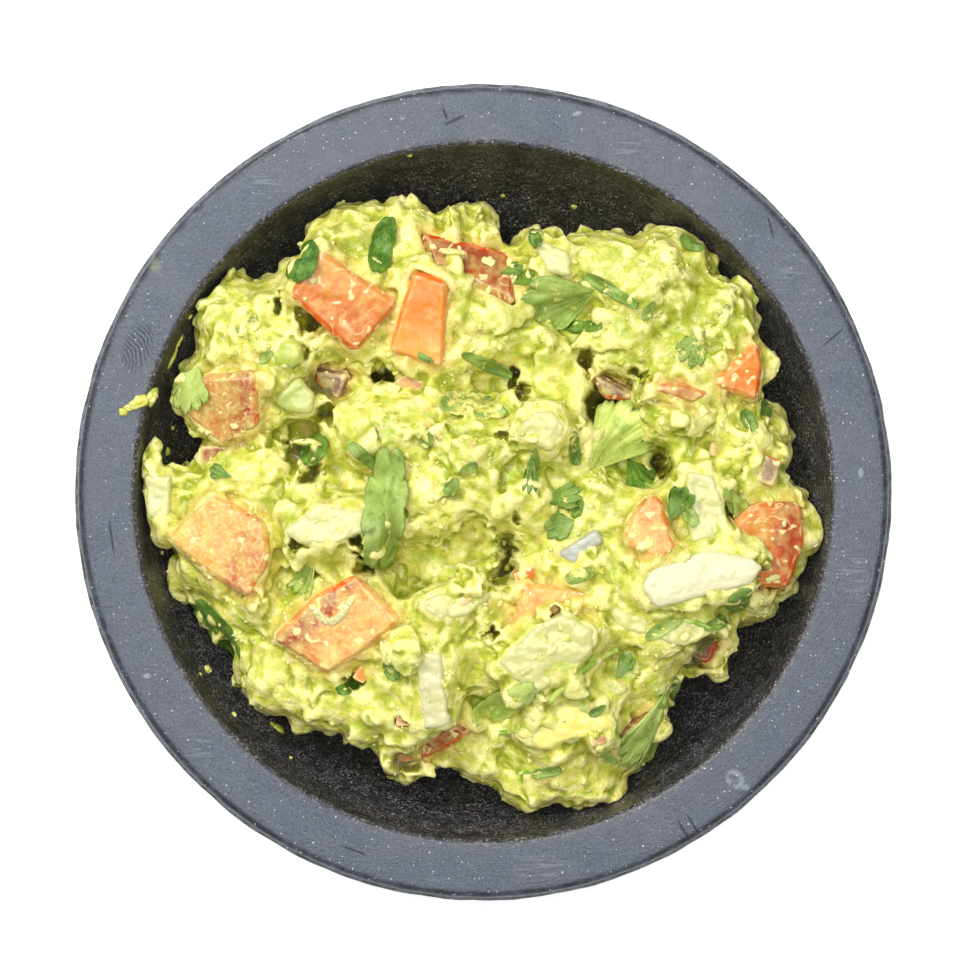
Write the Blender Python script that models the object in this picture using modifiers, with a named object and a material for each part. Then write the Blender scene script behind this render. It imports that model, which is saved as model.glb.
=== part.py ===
"""Chunky guacamole heaped in a round, thick-rimmed serving bowl.

Metres, +Z up. The origin is the middle of the foot's resting face, so the bowl stands on Z = 0.
The bowl is one turned piece. The mash is one solid with a lumpy, uneven outline: it fills the
bowl's hollow, rises above the rim in the middle and leaves part of the wall bare. The diced
tomato, the cut onion and the firm avocado are separate pieces bedded in it.
"""

import math
from collections import namedtuple

import bmesh
import bpy
from mathutils import Vector, noise

MM = 0.001

# ---- driving dimensions ---------------------------------------------------------------------
BOWL_DIAMETER = 127.0 * MM
BOWL_HEIGHT = 50.0 * MM
CAVITY_RADIUS = 53.7 * MM
CAVITY_DEPTH = 40.0 * MM
FOOT_RADIUS = 31.0 * MM
CLEARANCE = 0.35 * MM

# ---- the bowl's details ---------------------------------------------------------------------
LIP_ROUND = 1.0 * MM
RIM_EDGE_ROUND = 1.2 * MM
SEAM_PROUD = 0.6 * MM
SEAM_DROP = 2.0 * MM
SEAM_HEIGHT = 0.8 * MM
BAND_HEIGHT = 5.0 * MM
BODY_DEPTH = 43.0 * MM
FOOT_WIDTH = 4.5 * MM
FOOT_RECESS = 4.0 * MM
FOOT_CHAMFER = 0.8 * MM
BOWL_STEPS = 48
CAVITY_STEPS = 10
BODY_STEPS = 7

# ---- the mash: mounds, given in millimetres ---------------------------------------------------
# x, y: the mound's middle; wide, long: its half sizes along X and Y; top: above the rim;
# crown: how deep its rounded top is. Below the crown a mound goes straight down.
Mound = namedtuple("Mound", "x y wide long top crown")

CORE = Mound(-1, -1, 39, 38, -2.5, 18)
MOUNDS = {
    "north_west": [
        Mound(-35, 25, 11, 8, 3.0, 12), Mound(-41, 29, 5, 6, -1.0, 9), Mound(-29, 31, 5, 4, 0.5, 9),
        Mound(-43, 17, 5, 5, 0.5, 8), Mound(-27, 21, 4, 4, 0.0, 9),
    ],
    "north": [
        Mound(-20, 39, 8, 6, 0.0, 10), Mound(-12, 39, 5, 7, 0.5, 10), Mound(-3, 42, 4, 3, -4.0, 6),
        Mound(6, 35, 4, 4, -2.5, 6),
    ],
    "inner_north": [
        Mound(1, 27, 9, 6, 4.0, 10), Mound(-5, 30, 5, 6, 3.5, 9), Mound(10, 22, 5, 4, 1.5, 8),
        Mound(-1, 22, 6, 3, 2.5, 6),
    ],
    "north_east": [
        Mound(18, 35, 9, 6, 1.5, 11), Mound(26, 31, 9, 8, 3.5, 11), Mound(31, 36, 5, 5, 0.0, 9),
        Mound(37, 27, 6, 7, 1.5, 10), Mound(32, 20, 9, 6, 3.5, 10), Mound(21, 24, 7, 5, 2.5, 9),
        Mound(29, 38, 4, 4, -1.0, 7),
    ],
    "east": [
        Mound(31, 12, 9, 5, 4.5, 10), Mound(41, 8, 7, 6, 2.0, 9), Mound(46, 8, 3, 4, -2.5, 7),
        Mound(39, 2, 7, 5, 1.5, 9), Mound(49, -4, 3, 4, -3.0, 6),
    ],
    "middle": [
        Mound(-14, 9, 11, 8, 6.0, 12), Mound(-2, 5, 12, 10, 8.0, 13), Mound(9, 9, 9, 8, 6.5, 12),
        Mound(-8, -1, 8, 7, 7.0, 11), Mound(6, -2, 9, 6, 6.5, 11), Mound(17, -1, 6, 5, 4.5, 9),
        Mound(-21, 10, 4, 7, 2.5, 9), Mound(15, 11, 5, 8, 3.5, 9),
    ],
    "west": [
        Mound(-36, 3, 9, 5, 2.0, 9), Mound(-28, -1, 8, 6, 3.5, 10), Mound(-45, -1, 5, 4, -1.5, 8),
        Mound(-24, -8, 9, 6, 4.0, 10), Mound(-36, -18, 8, 6, -0.5, 9), Mound(-45, -12, 4, 5, -3.0, 7),
        Mound(-27, 5, 5, 3, 1.0, 6),
    ],
    "south_west": [
        Mound(-33, -28, 6, 7, 0.5, 9), Mound(-24, -31, 8, 6, 1.5, 9), Mound(-16, -33, 7, 6, 2.5, 9),
        Mound(-12, -40, 5, 5, -1.5, 8), Mound(-21, -24, 6, 5, 1.5, 8),
    ],
    "inner_south": [
        Mound(-10, -26, 9, 8, 5.5, 11), Mound(-2, -20, 9, 6, 6.5, 11), Mound(12, -11, 7, 5, 3.5, 9),
        Mound(21, -11, 6, 5, 3.5, 9), Mound(2, -27, 7, 5, 4.5, 9),
    ],
    "south": [
        Mound(0, -42, 5, 4, -2.5, 8), Mound(11, -43, 9, 5, -1.5, 9), Mound(17, -46, 5, 4, -3.5, 7),
        Mound(8, -47, 4, 3, -4.0, 6), Mound(13, -36, 9, 4, 1.0, 8), Mound(22, -39, 5, 5, -2.0, 8),
    ],
    "south_east": [
        Mound(18, -20, 10, 6, 4.5, 11), Mound(27, -17, 8, 5, 4.0, 10), Mound(32, -18, 6, 4, 1.5, 9),
        Mound(25, -26, 7, 4, 1.5, 9), Mound(16, -30, 8, 4, 1.5, 9), Mound(24, -30, 4, 4, -0.5, 8),
        Mound(43, -14, 5, 5, -4.0, 6),
    ],
}
MOUND_SEGMENTS = 16
MOUND_RINGS = 12
CORE_FINENESS = 2
MASH_VOXEL = 1.9 * MM
MASH_KEEP = 0.115
UNEVENNESS = 1.2 * MM
UNEVENNESS_SIZE = 7.0 * MM
BED_SPARE = 1.2 * MM
BED_DROP = 0.35
ROOM_STEPS = BOWL_STEPS // 2
ROOM_ABOVE = 30.0 * MM

# ---- the cut pieces, given in millimetres -----------------------------------------------------
# corners: the outline of the upper face; level: that face's middle above the rim; rise: how
# much it climbs along +X and +Y; thick: the piece's thickness.
Cut = namedtuple("Cut", "corners level rise thick")

TOMATO = {
    "tomato_1": Cut([(-25, 37.2), (-12.7, 29), (-19.6, 21), (-29.9, 30.2)], 5.6, (-0.10, 0.16), 8.5),
    "tomato_2": Cut([(-10.8, 34.2), (-5.2, 32.4), (-6, 18.6), (-15, 21.4)], 5.0, (0.06, 0.16), 3.4),
    "tomato_3": Cut([(-10, 40.8), (4, 37.6), (5.2, 28.8), (-8, 35)], 0.6, (-0.06, -0.34), 6.0),
    "tomato_4": Cut(
        [(-43.6, 18), (-34.8, 18.4), (-34.6, 9.6), (-40.6, 6.8), (-47, 12.4)], 2.2, (0.20, 0.30), 8.5
    ),
    "tomato_5": Cut(
        [(-42, 0.4), (-33.6, -4.2), (-32.6, -9.6), (-36, -16.4), (-43.4, -12), (-49.2, -7)],
        3.0, (0.16, -0.08), 9.5,
    ),
    "tomato_6": Cut(
        [(-19.4, -12.2), (-12.2, -19.6), (-18.4, -24.6), (-24, -28.2), (-33, -22.6), (-26, -15.6)],
        4.6, (0.10, 0.04), 7.0,
    ),
    "tomato_7": Cut(
        [(42.2, 23.6), (43.4, 20.2), (42.6, 13.8), (34.6, 16.6), (39.6, 21)], 2.6, (-0.16, 0.05), 9.0
    ),
    "tomato_8": Cut(
        [(41.8, -1.6), (49.4, -1.4), (50, -7.6), (47.4, -15.2), (40.6, -14.6), (38, -5)],
        1.8, (-0.18, 0.08), 10.0,
    ),
    "tomato_9": Cut(
        [(25.4, 0.2), (27.4, -0.8), (29.6, -8.8), (27, -10.8), (20.8, -7.4), (22.6, -2.8)],
        7.6, (0.05, -0.18), 8.0,
    ),
    "tomato_10": Cut([(5.8, -13.6), (16.6, -14.6), (15.6, -18.6), (3.4, -23.2)], 5.6, (-0.05, 0.05), 5.0),
    "tomato_11": Cut(
        [(-4.6, -35.6), (-1.2, -37.4), (-7, -41), (-15.4, -43.8), (-14.6, -41)], -3.0, (0.20, 0.36), 6.5
    ),
    "tomato_12": Cut(
        [(15.8, -38.4), (21.5, -36.8), (27, -33.4), (27.4, -35.2), (23, -38.8), (16.5, -40)],
        -1.5, (0.0, 0.10), 5.0,
    ),
    "tomato_13": Cut(
        [(35, -21.8), (37.3, -21.8), (35.5, -27), (34, -26.8), (31.9, -24.6)], -3.0, (-0.10, 0.20), 4.5
    ),
    "tomato_14": Cut(
        [(24.9, 15.5), (26.8, 17), (30.9, 16.8), (35.6, 15.2), (32.5, 13.2)], 4.6, (-0.05, 0.10), 3.0
    ),
    "tomato_15": Cut([(-27.9, 19.8), (-20.3, 18.8), (-22.3, 13.4), (-25, 15)], -3.0, (0.05, 0.10), 5.0),
    "tomato_16": Cut([(15.9, 19.8), (24.1, 15.2), (23, 13.8), (18.4, 14.6)], -3.5, (0.0, 0.10), 5.0),
}

ONION = {
    "onion_1": Cut(
        [(23.8, -14.6), (25.4, -11.8), (34, -8.6), (40.6, -9.8), (42.8, -11.4), (40.6, -14.2), (35, -15.4),
         (26.4, -17.8)],
        8.8, (-0.04, 0.06), 3.2,
    ),
    "onion_2": Cut(
        [(31, 3.6), (35.4, 2.4), (37.6, -5), (36.2, -7.4), (31.8, -8.4), (30.6, -1.2)], 6.4, (0.04, 0.05), 2.6
    ),
    "onion_3": Cut(
        [(-30.6, -6), (-25.4, -1.8), (-16.6, -2.6), (-15.8, -5.2), (-23, -8.2), (-28.6, -7.8)],
        7.6, (0.02, -0.05), 3.4,
    ),
    "onion_4": Cut([(-10.6, -23.8), (-6.4, -24.6), (-5.2, -35.6), (-9.2, -36.4)], 7.4, (0.10, 0.22), 3.0),
    "onion_5": Cut(
        [(2, -26), (7, -21), (12, -18.2), (17, -20.8), (16.8, -23.8), (13.4, -27.4), (7.8, -31),
         (6.4, -30.4)],
        9.2, (0.02, 0.12), 3.0,
    ),
    "onion_6": Cut(
        [(18.6, -14.4), (22.4, -13.6), (29, -18.6), (36.6, -21.2), (31, -24), (20, -20.6)],
        4.6, (-0.06, 0.04), 2.6,
    ),
    "onion_7": Cut([(11.2, -9.4), (17.4, -5.6), (18.6, -7.6), (13.8, -11.4)], 5.0, (0.02, 0.16), 4.0),
    "onion_8": Cut([(-52.4, 2.8), (-48.2, 2.6), (-48.8, -4), (-52.2, -4)], -0.8, (0.02, 0.02), 4.6),
    "onion_9": Cut(
        [(-9.8, -17.4), (-7.6, -15.4), (-0.6, -14.2), (1.4, -15.6), (-2.4, -18.8), (-7, -19.6)],
        8.4, (-0.04, -0.06), 3.0,
    ),
    "onion_10": Cut([(7.7, 12.7), (11, 12.3), (12.8, 9.4), (10.5, 6.3), (4, 8.1)], 9.0, (0.05, 0.05), 2.8),
    "onion_11": Cut(
        [(-32.5, 14.4), (-28.4, 17.8), (-25.9, 15), (-26.4, 12.1), (-30.7, 12.4)], 1.6, (0.0, 0.10), 4.0
    ),
    "onion_12": Cut([(8.1, 39.1), (13.3, 37), (13.6, 33.2), (8.7, 33.9)], 2.0, (0.10, 0.05), 4.0),
    "onion_13": Cut([(41.7, -15.9), (45.3, -16.2), (45, -19.4), (41.1, -19.2)], -4.5, (0.0, 0.05), 5.0),
    "onion_14": Cut(
        [(16.6, -28.7), (20.7, -29), (22.6, -30.6), (20.4, -31.6), (16.6, -31)], 2.6, (0.0, 0.10), 3.0
    ),
}

FIRM_AVOCADO = {
    "avocado_1": Cut(
        [(4.6, -37.2), (9.7, -32.8), (15.6, -32.2), (20, -34.4), (21, -36.6), (13.6, -38.4), (9.5, -40),
         (5.9, -38.5)],
        4.0, (0.0, 0.15), 3.4,
    ),
    "avocado_2": Cut(
        [(-33.3, 21.1), (-30.7, 23.7), (-28.4, 23.7), (-27.2, 20.9), (-28.4, 19.2), (-32, 18.6)],
        4.6, (0.05, 0.10), 5.0,
    ),
}

# ---- finishes: linear colour, roughness, metallic ---------------------------------------------
Finish = namedtuple("Finish", "colour roughness metallic")

BLACK_PLASTIC = Finish((0.030, 0.033, 0.040), 0.42, 0.0)
MASHED_GREEN = Finish((0.72, 0.76, 0.20), 0.40, 0.0)
TOMATO_RED = Finish((0.78, 0.13, 0.03), 0.28, 0.0)
ONION_WHITE = Finish((0.80, 0.82, 0.56), 0.30, 0.0)
AVOCADO_GREEN = Finish((0.66, 0.74, 0.22), 0.38, 0.0)

# Each kind of cut piece: its pieces, its finish, how much narrower it is below, its edges' round.
Kind = namedtuple("Kind", "pieces finish taper edge_round")

KINDS = {
    "tomato": Kind(TOMATO, TOMATO_RED, 0.86, 0.9 * MM),
    "onion": Kind(ONION, ONION_WHITE, 0.94, 0.45 * MM),
    "firm_avocado": Kind(FIRM_AVOCADO, AVOCADO_GREEN, 0.80, 1.1 * MM),
}
MITRE_LIMIT = 0.5


def clear_scene():
    for old in list(bpy.data.objects):
        bpy.data.objects.remove(old, do_unlink=True)


def collection(name):
    made = bpy.data.collections.new(name)
    bpy.context.scene.collection.children.link(made)
    return made


def material(name, finish):
    made = bpy.data.materials.new(name)
    made.use_nodes = True
    shader = made.node_tree.nodes["Principled BSDF"]
    shader.inputs["Base Color"].default_value = (*finish.colour, 1.0)
    shader.inputs["Roughness"].default_value = finish.roughness
    shader.inputs["Metallic"].default_value = finish.metallic
    return made


def new_object(name, mesh, home, finish=None):
    made = bpy.data.objects.new(name, mesh)
    home.objects.link(made)
    if finish:
        mesh.materials.append(finish)
    return made


def as_cutter(made):
    made.hide_render = True
    made.display_type = "WIRE"
    return made


def to_mesh(shape, name):
    mesh = bpy.data.meshes.new(name)
    shape.to_mesh(mesh)
    shape.free()
    return mesh


def boolean(target, other, operation):
    cut = target.modifiers.new(other.name, "BOOLEAN")
    cut.operation = operation
    cut.object = other
    cut.solver = "EXACT"


def turned(name, profile, steps, home, finish=None):
    """A profile of (radius, height) pairs, from the axis round to the axis, spun about Z."""
    mesh = bpy.data.meshes.new(name)
    mesh.from_pydata([(r, 0.0, z) for r, z in profile], [(i, i + 1) for i in range(len(profile) - 1)], [])
    made = new_object(name, mesh, home, finish)
    spin = made.modifiers.new("turn", "SCREW")
    spin.steps = spin.render_steps = steps
    spin.use_merge_vertices = True
    spin.merge_threshold = 0.00005
    spin.use_smooth_shade = True
    return made


# ---- the bowl ---------------------------------------------------------------------------------
def arc(centre, radius, start, end, steps):
    """(radius, height) pairs along an arc, from start to end in degrees."""
    angles = [math.radians(start + (end - start) * i / steps) for i in range(steps + 1)]
    return [(centre[0] + radius * math.cos(a), centre[1] + radius * math.sin(a)) for a in angles]


def cavity_wall(inset=0.0):
    """The hollow's wall from the middle of its floor up to the rim: a quarter of an ellipse."""
    angles = [0.5 * math.pi * i / CAVITY_STEPS for i in range(CAVITY_STEPS)]
    across, deep = CAVITY_RADIUS - inset, CAVITY_DEPTH - inset
    return [(across * math.sin(a), BOWL_HEIGHT - deep * math.cos(a)) for a in angles]


def rim(outer):
    """The rounded inner lip, the flat rim, its outer edge and the thin seam left by the mould."""
    lip = arc((CAVITY_RADIUS + LIP_ROUND, BOWL_HEIGHT - LIP_ROUND), LIP_ROUND, 180, 90, 2)
    edge = arc((outer - RIM_EDGE_ROUND, BOWL_HEIGHT - RIM_EDGE_ROUND), RIM_EDGE_ROUND, 90, 15, 2)
    seam_top = BOWL_HEIGHT - SEAM_DROP
    seam = [
        (outer, seam_top + SEAM_HEIGHT / 3),
        (outer + SEAM_PROUD, seam_top),
        (outer + SEAM_PROUD, seam_top - SEAM_HEIGHT / 2),
        (outer, seam_top - SEAM_HEIGHT),
    ]
    return lip + edge + seam


def body_and_foot(outer):
    """The outside, curving in from the band below the rim to a hollow foot ring."""
    foot_angle = math.asin(FOOT_RADIUS / outer)
    turn = foot_angle - 0.5 * math.pi
    angles = [0.5 * math.pi + turn * i / BODY_STEPS for i in range(BODY_STEPS + 1)]
    band = BOWL_HEIGHT - BAND_HEIGHT
    body = [(outer * math.sin(a), band - BODY_DEPTH * math.cos(a)) for a in angles]
    foot = [
        (FOOT_RADIUS, FOOT_CHAMFER),
        (FOOT_RADIUS - FOOT_CHAMFER, 0.0),
        (FOOT_RADIUS - FOOT_WIDTH, 0.0),
        (FOOT_RADIUS - FOOT_WIDTH - FOOT_CHAMFER, FOOT_RECESS),
        (0.0, FOOT_RECESS),
    ]
    return body + foot


def build_bowl(home):
    outer = 0.5 * BOWL_DIAMETER - SEAM_PROUD
    profile = cavity_wall() + rim(outer) + body_and_foot(outer)
    turned("bowl", profile, BOWL_STEPS, home, material("black_plastic", BLACK_PLASTIC))


# ---- the cut pieces ---------------------------------------------------------------------------
def widened(corners, distance):
    """The outline moved out by a distance, with mitred corners."""
    pairs = list(zip(corners, corners[1:] + corners[:1]))
    side = 1.0 if sum(a.cross(b).z for a, b in pairs) < 0.0 else -1.0
    outward = [Vector((a.y - b.y, b.x - a.x, 0.0)).normalized() * side for a, b in pairs]
    moved = []
    for i, corner in enumerate(corners):
        before, after = outward[i - 1], outward[i]
        moved.append(corner + (before + after) * distance / max(MITRE_LIMIT, 1.0 + before.dot(after)))
    return moved


def slab(cut, taper=1.0, grow=0.0, drop=0.0, floor=None):
    """A cut piece: its upper outline carried down by its thickness, or else to a floor.

    It can be grown all round, and its upper face can be dropped.
    """
    shape = bmesh.new()
    flat = [Vector((x * MM, y * MM, 0.0)) for x, y in cut.corners]
    middle = sum(flat, Vector()) / len(flat)
    normal = Vector((-cut.rise[0], -cut.rise[1], 1.0)).normalized()
    upper = []
    for p in widened(flat, grow):
        climb = cut.rise[0] * (p.x - middle.x) + cut.rise[1] * (p.y - middle.y)
        corner = Vector((p.x, p.y, BOWL_HEIGHT + cut.level * MM + climb))
        upper.append(shape.verts.new(corner + normal * (grow - drop)))
    face = shape.faces.new(upper)
    made = bmesh.ops.extrude_face_region(shape, geom=[face])["geom"]
    lower = [v for v in made if isinstance(v, bmesh.types.BMVert)]
    centre = sum((v.co for v in lower), Vector()) / len(lower)
    for v in lower:
        if floor is None:
            v.co = centre + (v.co - centre) * taper - normal * (cut.thick * MM + 2.0 * grow - drop)
        else:
            v.co.z = floor
    bmesh.ops.recalc_face_normals(shape, faces=shape.faces)
    return shape


def build_pieces(home, cutters):
    """The cut pieces, and for each a cutter a clearance larger, for its seat in the mash."""
    seats = []
    for kind_name, kind in KINDS.items():
        finish = material(kind_name, kind.finish)
        for name, cut in kind.pieces.items():
            shape = slab(cut, kind.taper)
            bmesh.ops.bevel(
                shape, geom=list(shape.edges), offset=kind.edge_round, offset_type="OFFSET", segments=1,
                affect="EDGES", clamp_overlap=True,
            )
            new_object(name, to_mesh(shape, name), home, finish)
            seat = to_mesh(slab(cut, kind.taper, grow=CLEARANCE), f"seat_{name}")
            seats.append(as_cutter(new_object(seat.name, seat, cutters)))
    return seats


# ---- the mash ---------------------------------------------------------------------------------
def add_mound(shape, mound, fineness=1):
    """A rounded crown on an upright stem that reaches below the bottom of the bowl's hollow."""
    ball = bmesh.ops.create_uvsphere(
        shape, u_segments=MOUND_SEGMENTS * fineness, v_segments=MOUND_RINGS * fineness, radius=1.0
    )["verts"]
    equator = mound.top - mound.crown
    stem = CAVITY_DEPTH / MM + equator
    for v in ball:
        across = math.hypot(v.co.x, v.co.y)
        below = v.co.z < 0.0
        spread = 1.0 / across if below and across > 0.01 else 1.0
        height = equator + v.co.z * (stem if below else mound.crown)
        place = (mound.x + v.co.x * mound.wide * spread, mound.y + v.co.y * mound.long * spread, height)
        v.co = Vector(place) * MM + Vector((0.0, 0.0, BOWL_HEIGHT))


def add_bed(shape, cut):
    """The mash that a cut piece lies in: a little wider than the piece, and down to the floor."""
    drop = BED_SPARE + BED_DROP * cut.thick * MM
    bed = to_mesh(slab(cut, grow=BED_SPARE, drop=drop, floor=0.0), "bed")
    shape.from_mesh(bed)
    bpy.data.meshes.remove(bed)


def lumps_mesh():
    """The core, every mound and every bed, in one mesh of overlapping bodies."""
    shape = bmesh.new()
    add_mound(shape, CORE, CORE_FINENESS)
    for group in MOUNDS.values():
        for mound in group:
            add_mound(shape, mound)
    for kind in KINDS.values():
        for cut in kind.pieces.values():
            add_bed(shape, cut)
    return to_mesh(shape, "lumps")


def merged_lumps(cutters):
    """The lumps as one skin, thinned to few faces and pushed in and out by smooth noise."""
    lumps = as_cutter(new_object("lumps", lumps_mesh(), cutters))
    merge = lumps.modifiers.new("merge", "REMESH")
    merge.mode = "VOXEL"
    merge.voxel_size = MASH_VOXEL
    thin = lumps.modifiers.new("thin", "DECIMATE")
    thin.ratio = MASH_KEEP
    bpy.context.view_layer.update()
    graph = bpy.context.evaluated_depsgraph_get()
    mesh = bpy.data.meshes.new_from_object(lumps.evaluated_get(graph))
    normals = [n.vector.copy() for n in mesh.vertex_normals]
    for v, normal in zip(mesh.vertices, normals):
        v.co += normal * UNEVENNESS * noise.noise(v.co / UNEVENNESS_SIZE)
    return mesh


def build_mash(home, cutters, seats):
    mash = new_object("guacamole", merged_lumps(cutters), home, material("mashed_avocado", MASHED_GREEN))
    top = BOWL_HEIGHT + ROOM_ABOVE
    profile = cavity_wall(CLEARANCE) + [(CAVITY_RADIUS - CLEARANCE, top), (0.0, top)]
    room = as_cutter(turned("room_in_bowl", profile[::-1], ROOM_STEPS, cutters))
    boolean(mash, room, "INTERSECT")
    for seat in seats:
        boolean(mash, seat, "DIFFERENCE")


def main():
    clear_scene()
    home = collection("guacamole_bowl")
    cutters = collection("cutters")
    build_bowl(home)
    seats = build_pieces(home, cutters)
    build_mash(home, cutters, seats)


main()
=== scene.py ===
"""Chunky guacamole heaped in a round, thick-rimmed black bowl: the looks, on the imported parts.

Metres, +Z up, in the frame's own place: the bowl stands on Z = 0 and its rim is the flat top.
"""

import math
import random

import bmesh
import bpy
import numpy as np
from mathutils import Matrix, Vector, noise
from mathutils.bvhtree import BVHTree


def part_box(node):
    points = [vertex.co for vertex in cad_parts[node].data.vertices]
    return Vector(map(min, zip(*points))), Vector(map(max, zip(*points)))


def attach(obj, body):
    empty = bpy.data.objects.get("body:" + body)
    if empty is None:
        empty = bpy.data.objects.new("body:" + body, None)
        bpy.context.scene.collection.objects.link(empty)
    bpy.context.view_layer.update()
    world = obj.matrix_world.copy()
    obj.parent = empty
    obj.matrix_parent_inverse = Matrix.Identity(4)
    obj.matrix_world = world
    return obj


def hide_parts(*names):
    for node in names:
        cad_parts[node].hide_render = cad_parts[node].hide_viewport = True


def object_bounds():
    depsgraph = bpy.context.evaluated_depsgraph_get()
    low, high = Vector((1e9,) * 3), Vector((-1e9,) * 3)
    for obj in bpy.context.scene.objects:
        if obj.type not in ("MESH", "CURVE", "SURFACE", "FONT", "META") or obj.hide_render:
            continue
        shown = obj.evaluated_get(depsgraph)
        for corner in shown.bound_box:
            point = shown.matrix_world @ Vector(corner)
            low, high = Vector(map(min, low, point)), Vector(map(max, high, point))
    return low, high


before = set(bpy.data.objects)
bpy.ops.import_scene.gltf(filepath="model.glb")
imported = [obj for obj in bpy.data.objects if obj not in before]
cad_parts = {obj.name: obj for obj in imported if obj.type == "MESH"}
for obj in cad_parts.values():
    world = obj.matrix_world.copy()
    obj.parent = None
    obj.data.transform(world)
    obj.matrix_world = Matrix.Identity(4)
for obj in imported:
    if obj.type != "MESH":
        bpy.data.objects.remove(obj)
cad_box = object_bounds()

# ==== The view =================================================================================
# The bowl is looked at from straight above, from about half a metre over its rim. The lens is a
# long one, so the inner wall shows only as a narrow dark ring round the food.
MM = 0.001
BOWL_LOW, BOWL_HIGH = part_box("bowl")
RIM = BOWL_HIGH.z
BOWL_RADIUS = BOWL_HIGH.x
VIEW_HEIGHT = 480 * MM
VIEW_WIDTH = BOWL_RADIUS * 2.339
SENSOR = 36.0

lens = bpy.data.cameras.new("overhead_camera")
lens.sensor_width = SENSOR
lens.lens = SENSOR * VIEW_HEIGHT / VIEW_WIDTH
camera = bpy.data.objects.new("overhead_camera", lens)
camera.location = (-0.5 * MM, 1.9 * MM, RIM + VIEW_HEIGHT)
bpy.context.scene.collection.objects.link(camera)
bpy.context.scene.camera = camera
bpy.context.scene.view_settings.view_transform = "Standard"


# ==== The bowl =================================================================================
# One moulded piece of black plastic: a half-egg hollow, a broad flat rim with a rounded inner
# lip, a thin wavy seam left by the mould under the outer edge, and a body that draws in to a
# hollow foot. It is well used, so the rim is scratched, nicked and speckled.
def link(name, data):
    made = bpy.data.objects.new(name, data)
    bpy.context.scene.collection.objects.link(made)
    return made


def node(tree, kind, inputs=None, **settings):
    """Adds a node. inputs are values or other nodes' outputs, by socket name or number."""
    made = tree.nodes.new(kind)
    for name, value in settings.items():
        setattr(made, name, value)
    for key, value in (inputs or {}).items():
        if isinstance(value, bpy.types.NodeSocket):
            tree.links.new(value, made.inputs[key])
        else:
            made.inputs[key].default_value = value
    return made


def maths(tree, operation, *values, clamp=False):
    inputs = dict(enumerate(values))
    return node(tree, "ShaderNodeMath", inputs, operation=operation, use_clamp=clamp).outputs[0]


def vector_maths(tree, operation, *values, scale=None):
    inputs = dict(enumerate(values))
    if scale is not None:
        inputs["Scale"] = scale
    made = node(tree, "ShaderNodeVectorMath", inputs, operation=operation)
    number = operation in ("DOT_PRODUCT", "LENGTH", "DISTANCE")
    return made.outputs["Value" if number else "Vector"]


def fine_noise(tree, place, size, detail=2.0, roughness=0.5, distortion=0.0, output="Fac"):
    """Cloudy noise whose blotches are about that size, from 0 to 1."""
    inputs = {
        "Vector": place, "Scale": 1.0 / size, "Detail": detail, "Roughness": roughness,
        "Distortion": distortion,
    }
    return node(tree, "ShaderNodeTexNoise", inputs).outputs[output]


def spread(tree, value, low, high, to_low=0.0, to_high=1.0):
    """The value stretched from one range to another, and held inside it."""
    inputs = {"Value": value, "From Min": low, "From Max": high, "To Min": to_low, "To Max": to_high}
    return node(tree, "ShaderNodeMapRange", inputs).outputs["Result"]


def mixed(tree, share, first, second, blend="MIX"):
    """Two colours mixed by a share from 0 to 1. A colour is a socket or three numbers."""
    made = node(tree, "ShaderNodeMix", data_type="RGBA", blend_type=blend)
    for socket, value in ((made.inputs[0], share), (made.inputs[6], first), (made.inputs[7], second)):
        if isinstance(value, bpy.types.NodeSocket):
            tree.links.new(value, socket)
        elif isinstance(value, tuple):
            socket.default_value = (*value, 1.0)
        else:
            socket.default_value = value
    return made.outputs[2]


def new_material(name, **constants):
    """A material with its shader, its tree and the object's own coordinates."""
    made = bpy.data.materials.new(name)
    made.use_nodes = True
    tree = made.node_tree
    shader = tree.nodes["Principled BSDF"]
    for socket, value in constants.items():
        shader.inputs[socket.replace("_", " ")].default_value = value
    place = node(tree, "ShaderNodeTexCoord").outputs["Object"]
    return made, tree, shader, place


def bump(tree, shader, height, distance, strength=1.0):
    made = node(tree, "ShaderNodeBump", {"Height": height, "Distance": distance, "Strength": strength})
    tree.links.new(made.outputs[0], shader.inputs["Normal"])


def new_tree(name, inputs):
    """A geometry tree with one geometry in, one out and the named inputs: (kind, value)."""
    tree = bpy.data.node_groups.new(name, "GeometryNodeTree")
    tree.is_modifier = True
    tree.interface.new_socket("Geometry", in_out="INPUT", socket_type="NodeSocketGeometry")
    tree.interface.new_socket("Geometry", in_out="OUTPUT", socket_type="NodeSocketGeometry")
    for label, (kind, value) in inputs.items():
        socket = tree.interface.new_socket(label, in_out="INPUT", socket_type="NodeSocket" + kind)
        if value is not None:
            socket.default_value = value
    return tree, node(tree, "NodeGroupInput").outputs


def finish_tree(tree, geometry, finish):
    """Ends a tree with plain, smooth, painted geometry."""
    real = node(tree, "GeometryNodeRealizeInstances", {0: geometry}).outputs[0]
    smooth = node(tree, "GeometryNodeSetShadeSmooth", {0: real}).outputs[0]
    painted = node(tree, "GeometryNodeSetMaterial", {0: smooth, "Material": finish}).outputs[0]
    node(tree, "NodeGroupOutput", {0: painted})


def add_nodes(target, tree, **values):
    """Puts a tree on an object, with its inputs set by their identifiers."""
    made = target.modifiers.new(tree.name, "NODES")
    made.node_group = tree
    for item in tree.interface.items_tree:
        if item.item_type == "SOCKET" and item.in_out == "INPUT" and item.name in values:
            made[item.identifier] = values[item.name]
    return made


def made_real(source, name):
    """The object with its modifiers worked out, as a plain mesh of its own. The source goes."""
    bpy.context.view_layer.update()
    graph = bpy.context.evaluated_depsgraph_get()
    mesh = bpy.data.meshes.new_from_object(source.evaluated_get(graph))
    mesh.name = name
    made = link(name, mesh)
    bpy.data.objects.remove(source)
    return made


CAVITY_RADIUS = BOWL_RADIUS - 9.8 * MM
CAVITY_DEPTH = 40.0 * MM
SEAM_PROUD = 0.6 * MM


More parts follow.
